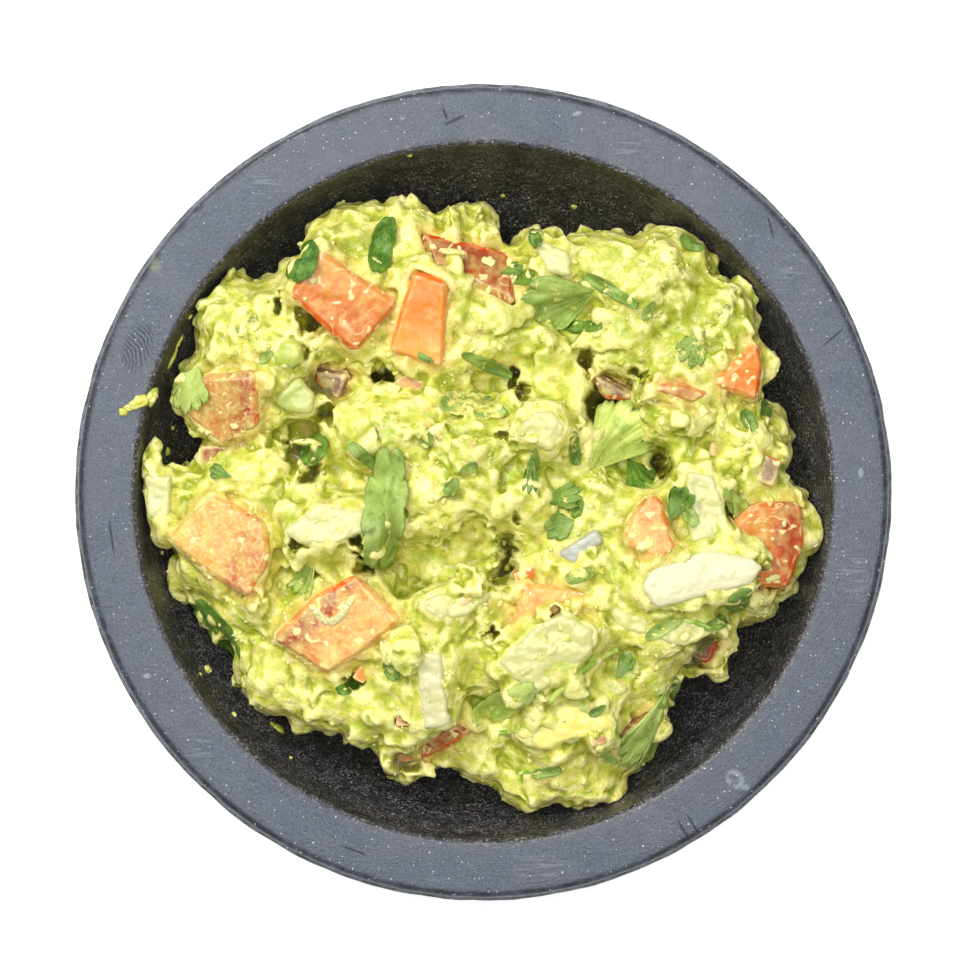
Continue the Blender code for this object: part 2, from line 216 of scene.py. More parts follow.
def arc(centre, radius, start, end, steps):
    angles = [math.radians(start + (end - start) * i / steps) for i in range(steps + 1)]
    return [(centre[0] + radius * math.cos(a), centre[1] + radius * math.sin(a)) for a in angles]


def quarter(radius, depth, top, steps):
    """A quarter of an ellipse, from its lowest point on the axis up to the height of top."""
    angles = [0.5 * math.pi * i / steps for i in range(steps)]
    return [(radius * math.sin(a), top - depth * math.cos(a)) for a in angles]


def bowl_profile():
    """(radius, height) from the middle of the hollow's floor, over the rim, to under the foot."""
    side = BOWL_RADIUS - SEAM_PROUD
    lip = arc((CAVITY_RADIUS + 1.0 * MM, RIM - 1.0 * MM), 1.0 * MM, 180, 90, 6)
    flat = [(CAVITY_RADIUS + (2.2 + 1.15 * i) * MM, RIM) for i in range(5)]
    edge = arc((side - 1.2 * MM, RIM - 1.2 * MM), 1.2 * MM, 90, 8, 6)
    seam = [(side, RIM - 1.7 * MM), (side + 0.5 * SEAM_PROUD, RIM - 1.85 * MM),
            (BOWL_RADIUS, RIM - 2.0 * MM), (BOWL_RADIUS, RIM - 2.4 * MM), (side, RIM - 2.8 * MM)]
    band = RIM - 5.0 * MM
    foot_radius = 31.0 * MM
    turn = 0.5 * math.pi - math.asin(foot_radius / side)
    angles = [0.5 * math.pi - turn * i / 18 for i in range(19)]
    body = [(side * math.sin(a), band - 43.0 * MM * math.cos(a)) for a in angles]
    foot = [(foot_radius, 0.8 * MM), (foot_radius - 0.8 * MM, 0.0), (foot_radius - 4.5 * MM, 0.0),
            (foot_radius - 5.3 * MM, 4.0 * MM), (0.5 * foot_radius, 4.0 * MM), (0.0, 4.0 * MM)]
    return quarter(CAVITY_RADIUS, CAVITY_DEPTH, RIM, 40) + lip + flat + edge + seam + body + foot


def profile_curve(name, profile):
    """The profile as an open line. A sweep round Z takes Y as down."""
    curve = bpy.data.curves.new(name, "CURVE")
    curve.dimensions = "3D"
    spline = curve.splines.new("POLY")
    spline.points.add(len(profile) - 1)
    for point, (radius, height) in zip(spline.points, profile):
        point.co = (radius, -height, 0.0, 1.0)
    return link(name, curve)


def patch(tree, place, x, y, wide, long, turn, soft=0.5):
    """How far inside an oval patch a point is, from 0 to 1. Sizes in millimetres, turn in degrees."""
    own = node(tree, "ShaderNodeMapping", {
        0: place, "Location": (x * MM, y * MM, 0.0), "Rotation": (0.0, 0.0, math.radians(turn)),
        "Scale": (wide * MM, long * MM, 1.0),
    }, vector_type="TEXTURE").outputs[0]
    flat = vector_maths(tree, "MULTIPLY", own, (1.0, 1.0, 0.0))
    return spread(tree, vector_maths(tree, "LENGTH", flat), 1.0, 1.0 - soft)


def most(tree, *shares):
    """The greatest of several shares."""
    highest = shares[0]
    for share in shares[1:]:
        highest = maths(tree, "MAXIMUM", highest, share)
    return highest


# Marks on the rim: x, y, half width, half length, in millimetres, and turn in degrees.
FINE_SCRATCHES = [(22.7, 54.0, 4.5, 3.0, 10), (-43.5, -39.5, 4.0, 3.0, 40), (-35.0, 47.0, 5.0, 3.0, 30),
                  (48.0, 33.0, 3.5, 5.0, 20), (57.0, -12.0, 3.0, 6.0, 0), (10.0, -58.0, 7.0, 2.5, 0)]
CUTS = [(31.2, -52.6, 0.22, 2.6, 30), (32.6, -51.6, 0.18, 2.2, 32), (-4.3, 57.6, 0.25, 2.2, -65),
        (-5.9, 58.6, 0.2, 1.2, 20), (-57.5, -7.0, 0.15, 3.0, 8), (54.2, 24.0, 0.15, 2.6, -50),
        (-20.0, -55.4, 0.16, 2.4, 70), (44.5, 41.0, 0.14, 2.2, 15)]
FLAKES = [(39.0, -44.4, 1.5, 1.9, 40), (40.6, -45.6, 0.8, 0.6, 0), (-52.0, -28.4, 0.7, 0.5, 10),
          (58.4, 3.0, 0.5, 0.9, 0), (-12.5, 58.0, 0.5, 0.4, 0), (14.5, 58.6, 0.9, 0.4, 15)]


def plastic_wear_and_painted_light():
    """Black plastic with grain, scratches, specks and dust, and painted light: a lighter slate blue on the flat rim as
    a painted reflection of the sky, painted glints and painted shade on the wall, and a painted shadow and a painted
    highlight at the outer edge.
    """
    made, tree, shader, place = new_material("black_plastic", Specular_IOR_Level=0.55)
    x, y, z = (node(tree, "ShaderNodeSeparateXYZ", {0: place}).outputs[i] for i in range(3))
    flat = node(tree, "ShaderNodeCombineXYZ", {0: x, 1: y}).outputs[0]
    radius = vector_maths(tree, "LENGTH", flat)
    angle = maths(tree, "ARCTAN2", y, x)
    on_rim = maths(tree, "MULTIPLY", spread(tree, z, RIM - 1.6 * MM, RIM - 0.3 * MM),
                   spread(tree, radius, CAVITY_RADIUS + 0.2 * MM, CAVITY_RADIUS + 1.6 * MM))
    turned = node(tree, "ShaderNodeCombineXYZ", {0: maths(tree, "MULTIPLY", angle, 0.011), 1: radius, 2: z}).outputs[0]
    grain = fine_noise(tree, turned, 0.28 * MM, 1.0, 0.7)
    streaks = fine_noise(tree, turned, 0.9 * MM, 3.0, 0.75)
    cloudy = fine_noise(tree, place, 9 * MM, 1.0, 0.6)
    dull = fine_noise(tree, place, 3 * MM, 2.0, 0.65)
    pitted = fine_noise(tree, place, 0.45 * MM, 1.0, 0.6)
    wall = mixed(tree, spread(tree, streaks, 0.42, 0.72), (0.008, 0.007, 0.010), (0.046, 0.042, 0.048))
    wall = mixed(tree, spread(tree, grain, 0.52, 0.70, 0.0, 0.7), wall, (0.15, 0.14, 0.15))
    # Painted shade: the wall is painted darker from 5 mm below the rim downwards, where shade falls towards the food.
    wall = mixed(tree, spread(tree, z, RIM - 5 * MM, RIM - 18 * MM, 0.0, 0.65), wall, (0.007, 0.006, 0.008))
    sandy = fine_noise(tree, place, 0.32 * MM, 1.0, 0.7)
    # Painted glints: pale flecks over the wall, thickest in patches, stand for light caught by its grain, not for wear.
    worn = maths(tree, "MULTIPLY", spread(tree, fine_noise(tree, place, 0.38 * MM, 1.0, 0.6), 0.53, 0.64), spread(tree, dull, 0.40, 0.58, 0.25, 1.0))
    wall = mixed(tree, maths(tree, "MULTIPLY", worn, 0.9), wall, (0.24, 0.225, 0.24))
    # Painted reflection: the flat rim is painted a lighter slate blue, for the sky it reflects. The specks, patches and
    # pits laid over it are real wear.
    top = mixed(tree, spread(tree, dull, 0.30, 0.72), (0.044, 0.058, 0.082), (0.084, 0.100, 0.132))
    top = mixed(tree, spread(tree, sandy, 0.55, 0.75, 0.0, 0.6), top, (0.15, 0.17, 0.20))
    top = mixed(tree, spread(tree, sandy, 0.42, 0.25, 0.0, 0.8), top, (0.012, 0.016, 0.024))
    top = mixed(tree, spread(tree, cloudy, 0.52, 0.38, 0.0, 0.5), top, (0.036, 0.046, 0.066))
    top = mixed(tree, spread(tree, pitted, 0.44, 0.30, 0.0, 0.6), top, (0.020, 0.026, 0.038))
    colour = mixed(tree, on_rim, wall, top)
    # Painted shadow: a dark ring on the rim's rounded outer edge, where it turns away from the light, broken up in
    # places.
    round_over_shade = spread(tree, maths(tree, "ABSOLUTE", maths(tree, "SUBTRACT", radius, BOWL_RADIUS - 1.25 * MM)),
                    0.75 * MM, 0.35 * MM)
    chipped = spread(tree, dull, 0.36, 0.56)
    colour = mixed(tree, maths(tree, "MULTIPLY", maths(tree, "MULTIPLY", round_over_shade, chipped), 0.8), colour, (0.008, 0.009, 0.012))
    # Painted highlight: the mould seam at the very outer edge is painted pale, as light catching it.
    lip = spread(tree, radius, BOWL_RADIUS - 0.75 * MM, BOWL_RADIUS - 0.45 * MM)
    colour = mixed(tree, maths(tree, "MULTIPLY", lip, spread(tree, dull, 0.40, 0.60, 0.2, 0.9)), colour, (0.16, 0.18, 0.21))

    # Fine hair scratches in rubbed patches, and a whorl of them on the left of the rim.
    rubbed = most(tree, *(patch(tree, place, *spot, 0.7) for spot in FINE_SCRATCHES))
    hairs = 0.0
    for heading, size in ((0.4, 0.5), (2.3, 0.42)):
        combed = node(tree, "ShaderNodeMapping", {0: flat, "Rotation": (0.0, 0.0, heading), "Scale": (0.10, 1.0, 1.0)})
        line = spread(tree, fine_noise(tree, combed.outputs[0], size * MM, 0.0), 0.60, 0.68)
        hairs = maths(tree, "MAXIMUM", line, hairs)
    hairs = maths(tree, "MULTIPLY", hairs, maths(tree, "ADD", maths(tree, "MULTIPLY", rubbed, 0.8), 0.10))
    whorl_place = vector_maths(tree, "SUBTRACT", flat, (-58.0 * MM, 20.0 * MM, 0.0))
    whorl_far = maths(tree, "ADD", vector_maths(tree, "LENGTH", whorl_place), maths(tree, "MULTIPLY", dull, 1.2 * MM))
    whorl = maths(tree, "SINE", maths(tree, "MULTIPLY", whorl_far, 2 * math.pi / (0.62 * MM)))
    whorl = maths(tree, "MULTIPLY", spread(tree, whorl, 0.45, 0.9), patch(tree, place, -53.4, 22.4, 2.6, 4.6, -20, 0.5))
    cuts = maths(tree, "MULTIPLY", most(tree, *(patch(tree, place, *cut, 0.5) for cut in CUTS)), on_rim)
    flakes = most(tree, *(patch(tree, place, *flake, 0.35) for flake in FLAKES))
    flakes = maths(tree, "MULTIPLY", maths(tree, "MULTIPLY", flakes, on_rim), spread(tree, dull, 0.40, 0.52))
    specks = spread(tree, fine_noise(tree, place, 0.50 * MM, 1.0, 0.4), 0.725, 0.765)
    colour = mixed(tree, maths(tree, "MULTIPLY", hairs, 0.6), colour, (0.16, 0.18, 0.21))
    colour = mixed(tree, maths(tree, "MULTIPLY", whorl, 0.55), colour, (0.010, 0.012, 0.016))
    colour = mixed(tree, maths(tree, "MULTIPLY", cuts, 0.9), colour, (0.012, 0.014, 0.018))
    colour = mixed(tree, maths(tree, "MULTIPLY", flakes, 0.75), colour, (0.24, 0.27, 0.30))
    colour = mixed(tree, specks, colour, (0.50, 0.51, 0.52))
    smear = maths(tree, "MULTIPLY", patch(tree, place, -52.0, 36.6, 1.3, 4.2, 35, 0.8),
                  maths(tree, "MULTIPLY", spread(tree, dull, 0.42, 0.60), on_rim))
    colour = mixed(tree, maths(tree, "MULTIPLY", smear, 0.7), colour, (0.30, 0.34, 0.10))
    tree.links.new(colour, shader.inputs["Base Color"])
    rough = maths(tree, "ADD", spread(tree, cloudy, 0.3, 0.7, 0.36, 0.52), spread(tree, dull, 0.3, 0.7, -0.06, 0.08))
    tree.links.new(rough, shader.inputs["Roughness"])
    height = maths(tree, "ADD", maths(tree, "MULTIPLY", grain, 0.6), maths(tree, "MULTIPLY", pitted, 0.9))
    height = maths(tree, "SUBTRACT", height, maths(tree, "MULTIPLY", most(tree, whorl, cuts), 1.6))
    bump(tree, shader, height, 0.06 * MM, 0.9)
    return made


def turned_tree(finish):
    """Sweeps a profile round Z, closes its poles, and nicks and waves what is near the rim."""
    tree, given = new_tree("turned_and_nicked", {
        "Steps": ("Int", 320), "Wave": ("Float", 0.13 * MM), "Outermost": ("Float", BOWL_RADIUS),
    })
    ring = node(tree, "GeometryNodeCurvePrimitiveCircle", {"Resolution": given["Steps"], "Radius": 0.01 * MM})
    upright = node(tree, "GeometryNodeSetCurveNormal", {0: ring.outputs[0]}, mode="Z_UP")
    swept = node(tree, "GeometryNodeCurveToMesh", {0: upright.outputs[0], "Profile Curve": given["Geometry"]})
    closed = node(tree, "GeometryNodeMergeByDistance", {0: swept.outputs[0], "Distance": 0.02 * MM})
    place = node(tree, "GeometryNodeInputPosition").outputs[0]
    x, y, z = (node(tree, "ShaderNodeSeparateXYZ", {0: place}).outputs[i] for i in range(3))
    flat = node(tree, "ShaderNodeCombineXYZ", {0: x, 1: y}).outputs[0]
    radius = vector_maths(tree, "LENGTH", flat)
    edge = spread(tree, radius, BOWL_RADIUS - 1.0 * MM, BOWL_RADIUS)
    waves = fine_noise(tree, flat, 7 * MM, 3.0, 0.7)
    inward = maths(tree, "MULTIPLY", maths(tree, "MULTIPLY", spread(tree, waves, 0.4, 0.75), given["Wave"]), edge)
    pull = vector_maths(tree, "SCALE", vector_maths(tree, "NORMALIZE", flat), scale=maths(tree, "MULTIPLY", inward, -2.0))
    worn = node(tree, "GeometryNodeSetPosition", {0: closed.outputs[0], "Offset": pull})
    finish_tree(tree, worn.outputs[0], finish)
    return tree


bowl = profile_curve("bowl_profile", bowl_profile())
add_nodes(bowl, turned_tree(plastic_wear_and_painted_light()))
bowl = made_real(bowl, "moulded_bowl")
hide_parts("bowl")
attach(bowl, "root")

# ==== The mash =================================================================================
# Ripe avocado broken up with a fork: a soft pale paste, full of curds from crumbs up to the
# size of a pea. It is heaped on the imported mash, pressed against the pieces and creeps over
# their edges. Its colour is painted darker olive in the hollows as painted shade, and pale
# cream on the crests as a painted highlight.
CURD_VOXEL = 0.42 * MM
MASH_TRIANGLES = 195000


def copied(node_name, name):
    """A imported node's mesh as a new object, with its doubles merged."""
    shape = bmesh.new()
    shape.from_mesh(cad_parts[node_name].data)
    bmesh.ops.remove_doubles(shape, verts=shape.verts, dist=0.001 * MM)
    mesh = bpy.data.meshes.new(name)
    shape.to_mesh(mesh)
    shape.free()
    return link(name, mesh)


def mash_finish():
    """Creamy yellow-green paste, painted pale cream on the crests as a painted highlight, and darker olive in the
    hollows and dark in the pits as painted shade.
    """
    made, tree, shader, place = new_material(
        "mashed_avocado", Subsurface_Weight=0.35, Subsurface_Radius=(1.0, 0.9, 0.2),
        Subsurface_Scale=1.4 * MM, Coat_Weight=0.25, Coat_Roughness=0.18,
    )
    crest = node(tree, "ShaderNodeAttribute", attribute_name="crest").outputs["Fac"]
    pit_shade = node(tree, "ShaderNodeAttribute", attribute_name="pit_shade").outputs["Fac"]
    clouds = fine_noise(tree, place, 11 * MM, 1.0, 0.6)
    patches = fine_noise(tree, place, 5 * MM, 2.0, 0.6, 0.4)
    chunks = fine_noise(tree, place, 2.2 * MM, 2.0, 0.5, 0.3)
    mottle = fine_noise(tree, place, 1.2 * MM, 2.0, 0.6)
    height = maths(tree, "ADD", crest, spread(tree, mottle, 0.3, 0.7, -0.12, 0.12))
    colour = mixed(tree, spread(tree, clouds, 0.35, 0.65), (0.56, 0.57, 0.066), (0.75, 0.69, 0.115))
    # Painted shade: a broad darker, greener patch over the north-east of the heap, which lies more in shade.
    colour = mixed(tree, patch(tree, place, 30, 27, 24, 17, -20, 0.9), colour, mixed(tree, 0.8, colour, (0.40, 0.47, 0.04)))
    colour = mixed(tree, spread(tree, chunks, 0.50, 0.66, 0.0, 0.85), colour, (0.90, 0.84, 0.34))
    colour = mixed(tree, spread(tree, patches, 0.52, 0.68, 0.0, 0.80), colour, (0.40, 0.51, 0.04))
    colour = mixed(tree, spread(tree, chunks, 0.46, 0.34, 0.0, 0.7), colour, (0.40, 0.52, 0.045))
    # Painted shade and painted highlight: darker olive in the hollows, pale cream on the crests, by the crest mark.
    colour = mixed(tree, spread(tree, height, 0.46, 0.02, 0.0, 0.9), colour, (0.33, 0.36, 0.014))
    colour = mixed(tree, spread(tree, height, 0.54, 0.95, 0.0, 0.85), colour, (0.91, 0.86, 0.34))
    stain = node(tree, "ShaderNodeAttribute", attribute_name="stain").outputs["Fac"]
    stained = maths(tree, "MULTIPLY", stain, spread(tree, patches, 0.40, 0.60, 0.25, 1.0))
    colour = mixed(tree, maths(tree, "MULTIPLY", stained, 0.65), colour, (0.80, 0.46, 0.13))
    rust = spread(tree, fine_noise(tree, place, 3.2 * MM, 1.0, 0.6, 0.6), 0.63, 0.74, 0.0, 0.55)
    colour = mixed(tree, rust, colour, (0.66, 0.50, 0.16))
    # Painted shade: the paste is painted nearly black inside the deep gaps, where shadow falls.
    colour = mixed(tree, pit_shade, colour, (0.085, 0.075, 0.012))
    tree.links.new(colour, shader.inputs["Base Color"])
    tree.links.new(spread(tree, mottle, 0.3, 0.7, 0.30, 0.52), shader.inputs["Roughness"])
    grain = fine_noise(tree, place, 0.45 * MM, 2.0, 0.6)
    bead = node(tree, "ShaderNodeTexVoronoi", {"Vector": place, "Scale": 1 / (0.8 * MM)}).outputs["Distance"]
    bead = maths(tree, "MULTIPLY", bead, bead)
    bump(tree, shader, maths(tree, "SUBTRACT", maths(tree, "ADD", grain, mottle), bead), 0.20 * MM, 0.6)
    return made


def lump_tree():
    """Beds lumps of many sizes in a surface, thickest in patches. They are merged with it later."""
    tree, given = new_tree("lumps_in_mash", {
        "Per Square Metre": ("Float", 30000.0), "Smallest": ("Float", 1.0 * MM),
        "Largest": ("Float", 3.0 * MM), "Sunk": ("Float", 0.5), "Rarely Large": ("Float", 1.5),
        "Patch Size": ("Float", 10 * MM), "Bare": ("Float", 0.4), "Warp": ("Float", 1.0 * MM),
        "Warp Size": ("Float", 2.0 * MM), "Seed": ("Int", 3),
    })
    place = node(tree, "GeometryNodeInputPosition").outputs[0]
    patch_scale = maths(tree, "DIVIDE", 1.0, given["Patch Size"])
    cloud = node(tree, "ShaderNodeTexNoise", {"Vector": place, "Scale": patch_scale, "Detail": 2.0}).outputs[0]
    patches = spread(tree, cloud, given["Bare"], maths(tree, "ADD", given["Bare"], 0.15), 0.04, 1.0)
    free = maths(tree, "SUBTRACT", 1.0, node(tree, "GeometryNodeInputNamedAttribute", {"Name": "bare"}).outputs[0])
    points = node(tree, "GeometryNodeDistributePointsOnFaces", {
        0: given["Geometry"], "Seed": given["Seed"],
        "Density": maths(tree, "MULTIPLY", maths(tree, "MULTIPLY", patches, free), given["Per Square Metre"]),
    })
    luck = node(tree, "FunctionNodeRandomValue", {"Seed": given["Seed"]}, data_type="FLOAT").outputs[1]
    size = spread(tree, maths(tree, "POWER", luck, given["Rarely Large"]), 0.0, 1.0,
                  given["Smallest"], given["Largest"])
    sink = maths(tree, "MULTIPLY", maths(tree, "MULTIPLY", size, given["Sunk"]), -1.0)
    sunk = node(tree, "GeometryNodeSetPosition", {
        0: points.outputs["Points"], "Offset": vector_maths(tree, "SCALE", points.outputs["Normal"], scale=sink),
    })
    shape = node(tree, "FunctionNodeRandomValue", {0: (0.8, 0.65, 0.5), 1: (1.4, 1.1, 0.9)},
                 data_type="FLOAT_VECTOR").outputs[0]
    turn = node(tree, "FunctionNodeRandomValue", {0: (0, 0, 0), 1: (6.28, 6.28, 6.28), "Seed": 5},
                data_type="FLOAT_VECTOR").outputs[0]
    ball = node(tree, "GeometryNodeMeshIcoSphere", {"Radius": 1.0, "Subdivisions": 3}).outputs[0]
    lumps = node(tree, "GeometryNodeInstanceOnPoints", {
        0: sunk.outputs[0], "Instance": ball, "Rotation": turn,
        "Scale": vector_maths(tree, "SCALE", shape, scale=size),
    })
    real = node(tree, "GeometryNodeRealizeInstances", {0: lumps.outputs[0]})
    warp_scale = maths(tree, "DIVIDE", 1.0, given["Warp Size"])
    warp = node(tree, "ShaderNodeTexNoise", {"Vector": place, "Scale": warp_scale, "Detail": 2.0}).outputs["Color"]
    aside = vector_maths(tree, "SCALE", vector_maths(tree, "SUBTRACT", warp, (0.5, 0.5, 0.5)),
                         scale=maths(tree, "MULTIPLY", given["Warp"], 3.0))
    warped = node(tree, "GeometryNodeSetPosition", {0: real.outputs[0], "Offset": aside})
    both = node(tree, "GeometryNodeJoinGeometry")
    tree.links.new(given["Geometry"], both.inputs[0])
    tree.links.new(warped.outputs[0], both.inputs[0])
    node(tree, "NodeGroupOutput", {0: both.outputs[0]})
    return tree


def relief_tree(finish):
    """Folds and roughens the skin at four scales, and marks its crests and hollows."""
    tree, given = new_tree("curdled_relief", {
        "Fold Size": ("Float", 6.5 * MM), "Fold Height": ("Float", 1.35 * MM),
        "Lump Size": ("Float", 2.8 * MM), "Lump Height": ("Float", 0.65 * MM),
        "Curd Size": ("Float", 1.3 * MM), "Curd Height": ("Float", 0.34 * MM),
        "Crumb Size": ("Float", 0.7 * MM), "Crumb Height": ("Float", 0.10 * MM),
        "Clump Size": ("Float", 8.0 * MM), "Crease Depth": ("Float", 1.3 * MM),
        "Crease Width": ("Float", 0.16), "Crest Height": ("Float", 0.6 * MM),
    })
    place = node(tree, "GeometryNodeInputPosition").outputs[0]
    normal = node(tree, "GeometryNodeInputNormal").outputs[0]

    def wave(size, height, kind="FBM", distortion=0.0, middle=0.5):
        made = node(tree, "ShaderNodeTexNoise", {
            "Vector": place, "Scale": maths(tree, "DIVIDE", 1.0, given[size]), "Detail": 2.0,
            "Distortion": distortion,
        }, noise_type=kind)
        return maths(tree, "MULTIPLY", maths(tree, "SUBTRACT", made.outputs[0], middle), given[height])

    cells = node(tree, "ShaderNodeTexVoronoi", {
        "Vector": place, "Scale": maths(tree, "DIVIDE", 1.0, given["Curd Size"]), "Smoothness": 0.8,
    }, feature="SMOOTH_F1").outputs["Distance"]
    crumbly = spread(tree, fine_noise(tree, place, 8 * MM, 2.0), 0.42, 0.6)
    curd = maths(tree, "MULTIPLY", maths(tree, "MULTIPLY", maths(tree, "SUBTRACT", 0.45, cells), crumbly),
                 given["Curd Height"])
    push = maths(tree, "ADD", wave("Fold Size", "Fold Height", distortion=0.6),
                 maths(tree, "ADD", wave("Lump Size", "Lump Height", distortion=0.4), curd))
    push = maths(tree, "ADD", push, wave("Crumb Size", "Crumb Height"))
    sway = node(tree, "ShaderNodeTexNoise", {"Vector": place, "Scale": 1 / (4 * MM), "Detail": 2.0}).outputs["Color"]
    swayed = vector_maths(tree, "ADD", place, vector_maths(
        tree, "SCALE", vector_maths(tree, "SUBTRACT", sway, (0.5, 0.5, 0.5)), scale=6 * MM))
    border = node(tree, "ShaderNodeTexVoronoi", {
        "Vector": swayed, "Scale": maths(tree, "DIVIDE", 1.0, given["Clump Size"]),
    }, feature="DISTANCE_TO_EDGE").outputs["Distance"]
    crease = spread(tree, border, 0.0, given["Crease Width"], 1.0, 0.0)
    broken = spread(tree, fine_noise(tree, place, 5 * MM, 2.0), 0.45, 0.62)
    crease = maths(tree, "MULTIPLY", maths(tree, "MULTIPLY", crease, crease), broken)
    push = maths(tree, "SUBTRACT", push, maths(tree, "MULTIPLY", crease, given["Crease Depth"]))
    moved = node(tree, "GeometryNodeSetPosition",
                 {0: given["Geometry"], "Offset": vector_maths(tree, "SCALE", normal, scale=push)})
    smooth = node(tree, "GeometryNodeBlurAttribute", {"Value": place, "Iterations": 12},
                  data_type="FLOAT_VECTOR").outputs[0]
    # The crest mark is how far a point stands above its smoothed neighbours. The paste's colour turns it into painted
    # highlight on crests and painted shade in hollows.
    over = vector_maths(tree, "DOT_PRODUCT", vector_maths(tree, "SUBTRACT", place, smooth), normal)
    crest = maths(tree, "ADD", maths(tree, "DIVIDE", over, given["Crest Height"]), 0.5)
    marked = node(tree, "GeometryNodeStoreNamedAttribute",
                  {0: moved.outputs[0], "Name": "crest", "Value": crest}, data_type="FLOAT", domain="POINT")
    finish_tree(tree, marked.outputs[0], finish)
    return tree


# The deep gaps between the clumps, with the paste painted dark inside them as painted shade: x, y, half width, half
# length, depth, in millimetres, and turn.
PITS = [
    (-18.9, -7.6, 0.8, 1.9, 6, 10), (-18.6, -11.6, 1.1, 1.0, 6, 0), (5.1, -4.0, 0.5, 0.9, 4, 20),
    (3.1, -12.5, 1.5, 2.2, 7, -20), (1.5, -21.5, 1.3, 0.7, 6, 0), (17.6, 13.5, 1.8, 2.4, 9, 10),
    (15.6, 19.5, 0.9, 1.9, 7, 15), (4.6, 17.8, 0.7, 0.9, 5, 0), (-15.6, 18.0, 1.3, 1.0, 7, 0),
    (6.3, 15.5, 0.8, 1.2, 5, 0), (2.8, 8.9, 0.4, 0.5, 3, 0), (-12.1, -35.2, 1.0, 0.6, 5, 0),
    (-28.5, 6.0, 2.2, 1.4, 6, -20), (-24.5, 12.0, 1.4, 1.0, 5, 0), (-27.0, 26.2, 2.2, 1.1, 6, -30),
    (-31.8, 29.3, 0.5, 1.0, 4, 20), (-24.2, 17.0, 4.2, 3.0, 3.0, -10), (20.4, 15.8, 4.0, 2.4, 3.5, -8),
    (27.6, 4.2, 1.1, 2.2, 5, 20), (37.6, -2.2, 0.9, 2.4, 4, 20), (-28.6, -8.0, 1.5, 0.8, 4, 35),
    (-20.2, -29.8, 1.4, 0.9, 4, 20), (10.6, -18.4, 0.8, 0.6, 4, 0), (24.0, 18.4, 1.4, 0.6, 4, -20),
    (34.6, -23.6, 2.6, 3.0, 2.5, 20), (-26.0, 3.4, 1.6, 1.2, 5, 0), (3.6, -9.0, 1.0, 2.4, 4, 10),
    (43.4, -12.8, 1.9, 2.6, 6, 40), (33.2, -26.4, 1.6, 1.6, 2.4, 0), (-29.0, 21.5, 1.3, 1.6, 5, 20),
    (-12.8, -42.0, 2.8, 1.7, 3.0, 20), (-15.0, -44.6, 1.6, 1.4, 2.4, 0),
]


def carve_pits(mesh):
    """Sinks the mash at each gap in PITS, with ragged edges, and marks how deep inside one a point is, for the painted
    shade there.
    """
    inside = mesh.attributes.new("pit_shade", "FLOAT", "POINT")
    for v in mesh.vertices:
        if v.co.z < RIM - 14 * MM:
            continue
        stray = noise.noise_vector(v.co / (1.5 * MM)) * 1.1 + noise.noise_vector(v.co / (4 * MM)) * 1.2
        deepest = 0.0
        for x, y, wide, long, deep, turn in PITS:
            east, north = v.co.x / MM - x + stray.x, v.co.y / MM - y + stray.y
            if abs(east) + abs(north) > 8.0:
                continue
            c, s = math.cos(math.radians(turn)), math.sin(math.radians(turn))
            away = math.hypot((c * east + s * north) / wide, (c * north - s * east) / long)
            ramp = min(1.0, max(0.0, 1.5 - away))
            deepest = max(deepest, deep * ramp * ramp * (3.0 - 2.0 * ramp))
            inside.data[v.index].value = max(inside.data[v.index].value, min(1.0, 1.8 * ramp - 0.9))
        v.co.z -= deepest * MM


def stain_by_tomato(mesh):
    """Marks how near the skin of the mash is to a tomato die, which tints it."""
    shape = bmesh.new()
    for node_name in FILLED_TO:
        if node_name.startswith("tomato"):
            shape.from_mesh(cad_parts[node_name].data)
    tomato = BVHTree.FromBMesh(shape)
    shape.free()
    reach = 2.6 * MM
    stain = mesh.attributes.new("stain", "FLOAT", "POINT")
    for v in mesh.vertices:
        hit = tomato.find_nearest(v.co, reach)
        if hit[3] is not None:
            stain.data[v.index].value = 1.0 - hit[3] / reach


def keep_in_bowl(mesh):
    """Holds a mesh inside the hollow and under the frame's top."""
    co = np.empty(len(mesh.vertices) * 3)
    mesh.vertices.foreach_get("co", co)
    co = co.reshape(-1, 3)
    down = np.clip((RIM - co[:, 2]) / (CAVITY_DEPTH - 0.2 * MM), 0.0, 1.0)
    reach = (CAVITY_RADIUS - 0.2 * MM) * np.sqrt(1.0 - down ** 2)
    across = np.hypot(co[:, 0], co[:, 1])
    co[:, :2] *= np.minimum(1.0, reach / np.maximum(across, 1e-9))[:, None]
    co[:, 2] = np.clip(co[:, 2], RIM - CAVITY_DEPTH + 0.3 * MM, cad_box[1][2] - 0.03 * MM)
    mesh.vertices.foreach_set("co", co.ravel())


# How far the mash under and round each piece stays below the piece's top, in millimetres.
FILLED_TO = {
    "tomato_1": 1.7, "tomato_2": 1.7, "tomato_3": 3.1, "tomato_4": 0.7, "tomato_5": 0.75, "tomato_6": 0.9,
    "tomato_7": 1.0, "tomato_8": 2.5, "tomato_9": 0.5, "tomato_10": 0.6, "tomato_11": 2.8, "tomato_12": 2.8,
    "tomato_13": 3.2, "tomato_14": 0.5, "tomato_15": 3.4, "tomato_16": 3.4, "onion_1": 1.5, "onion_2": 0.6,
    "onion_3": 0.45, "onion_4": 0.55, "onion_5": 0.5, "onion_6": 0.4, "onion_7": 1.2, "onion_8": 0.9,
    "onion_9": 0.42, "onion_10": 0.42, "onion_11": 1.2, "onion_12": 0.8, "onion_13": 0.6, "onion_14": 0.4,
    "avocado_1": 0.4, "avocado_2": 0.8,
}


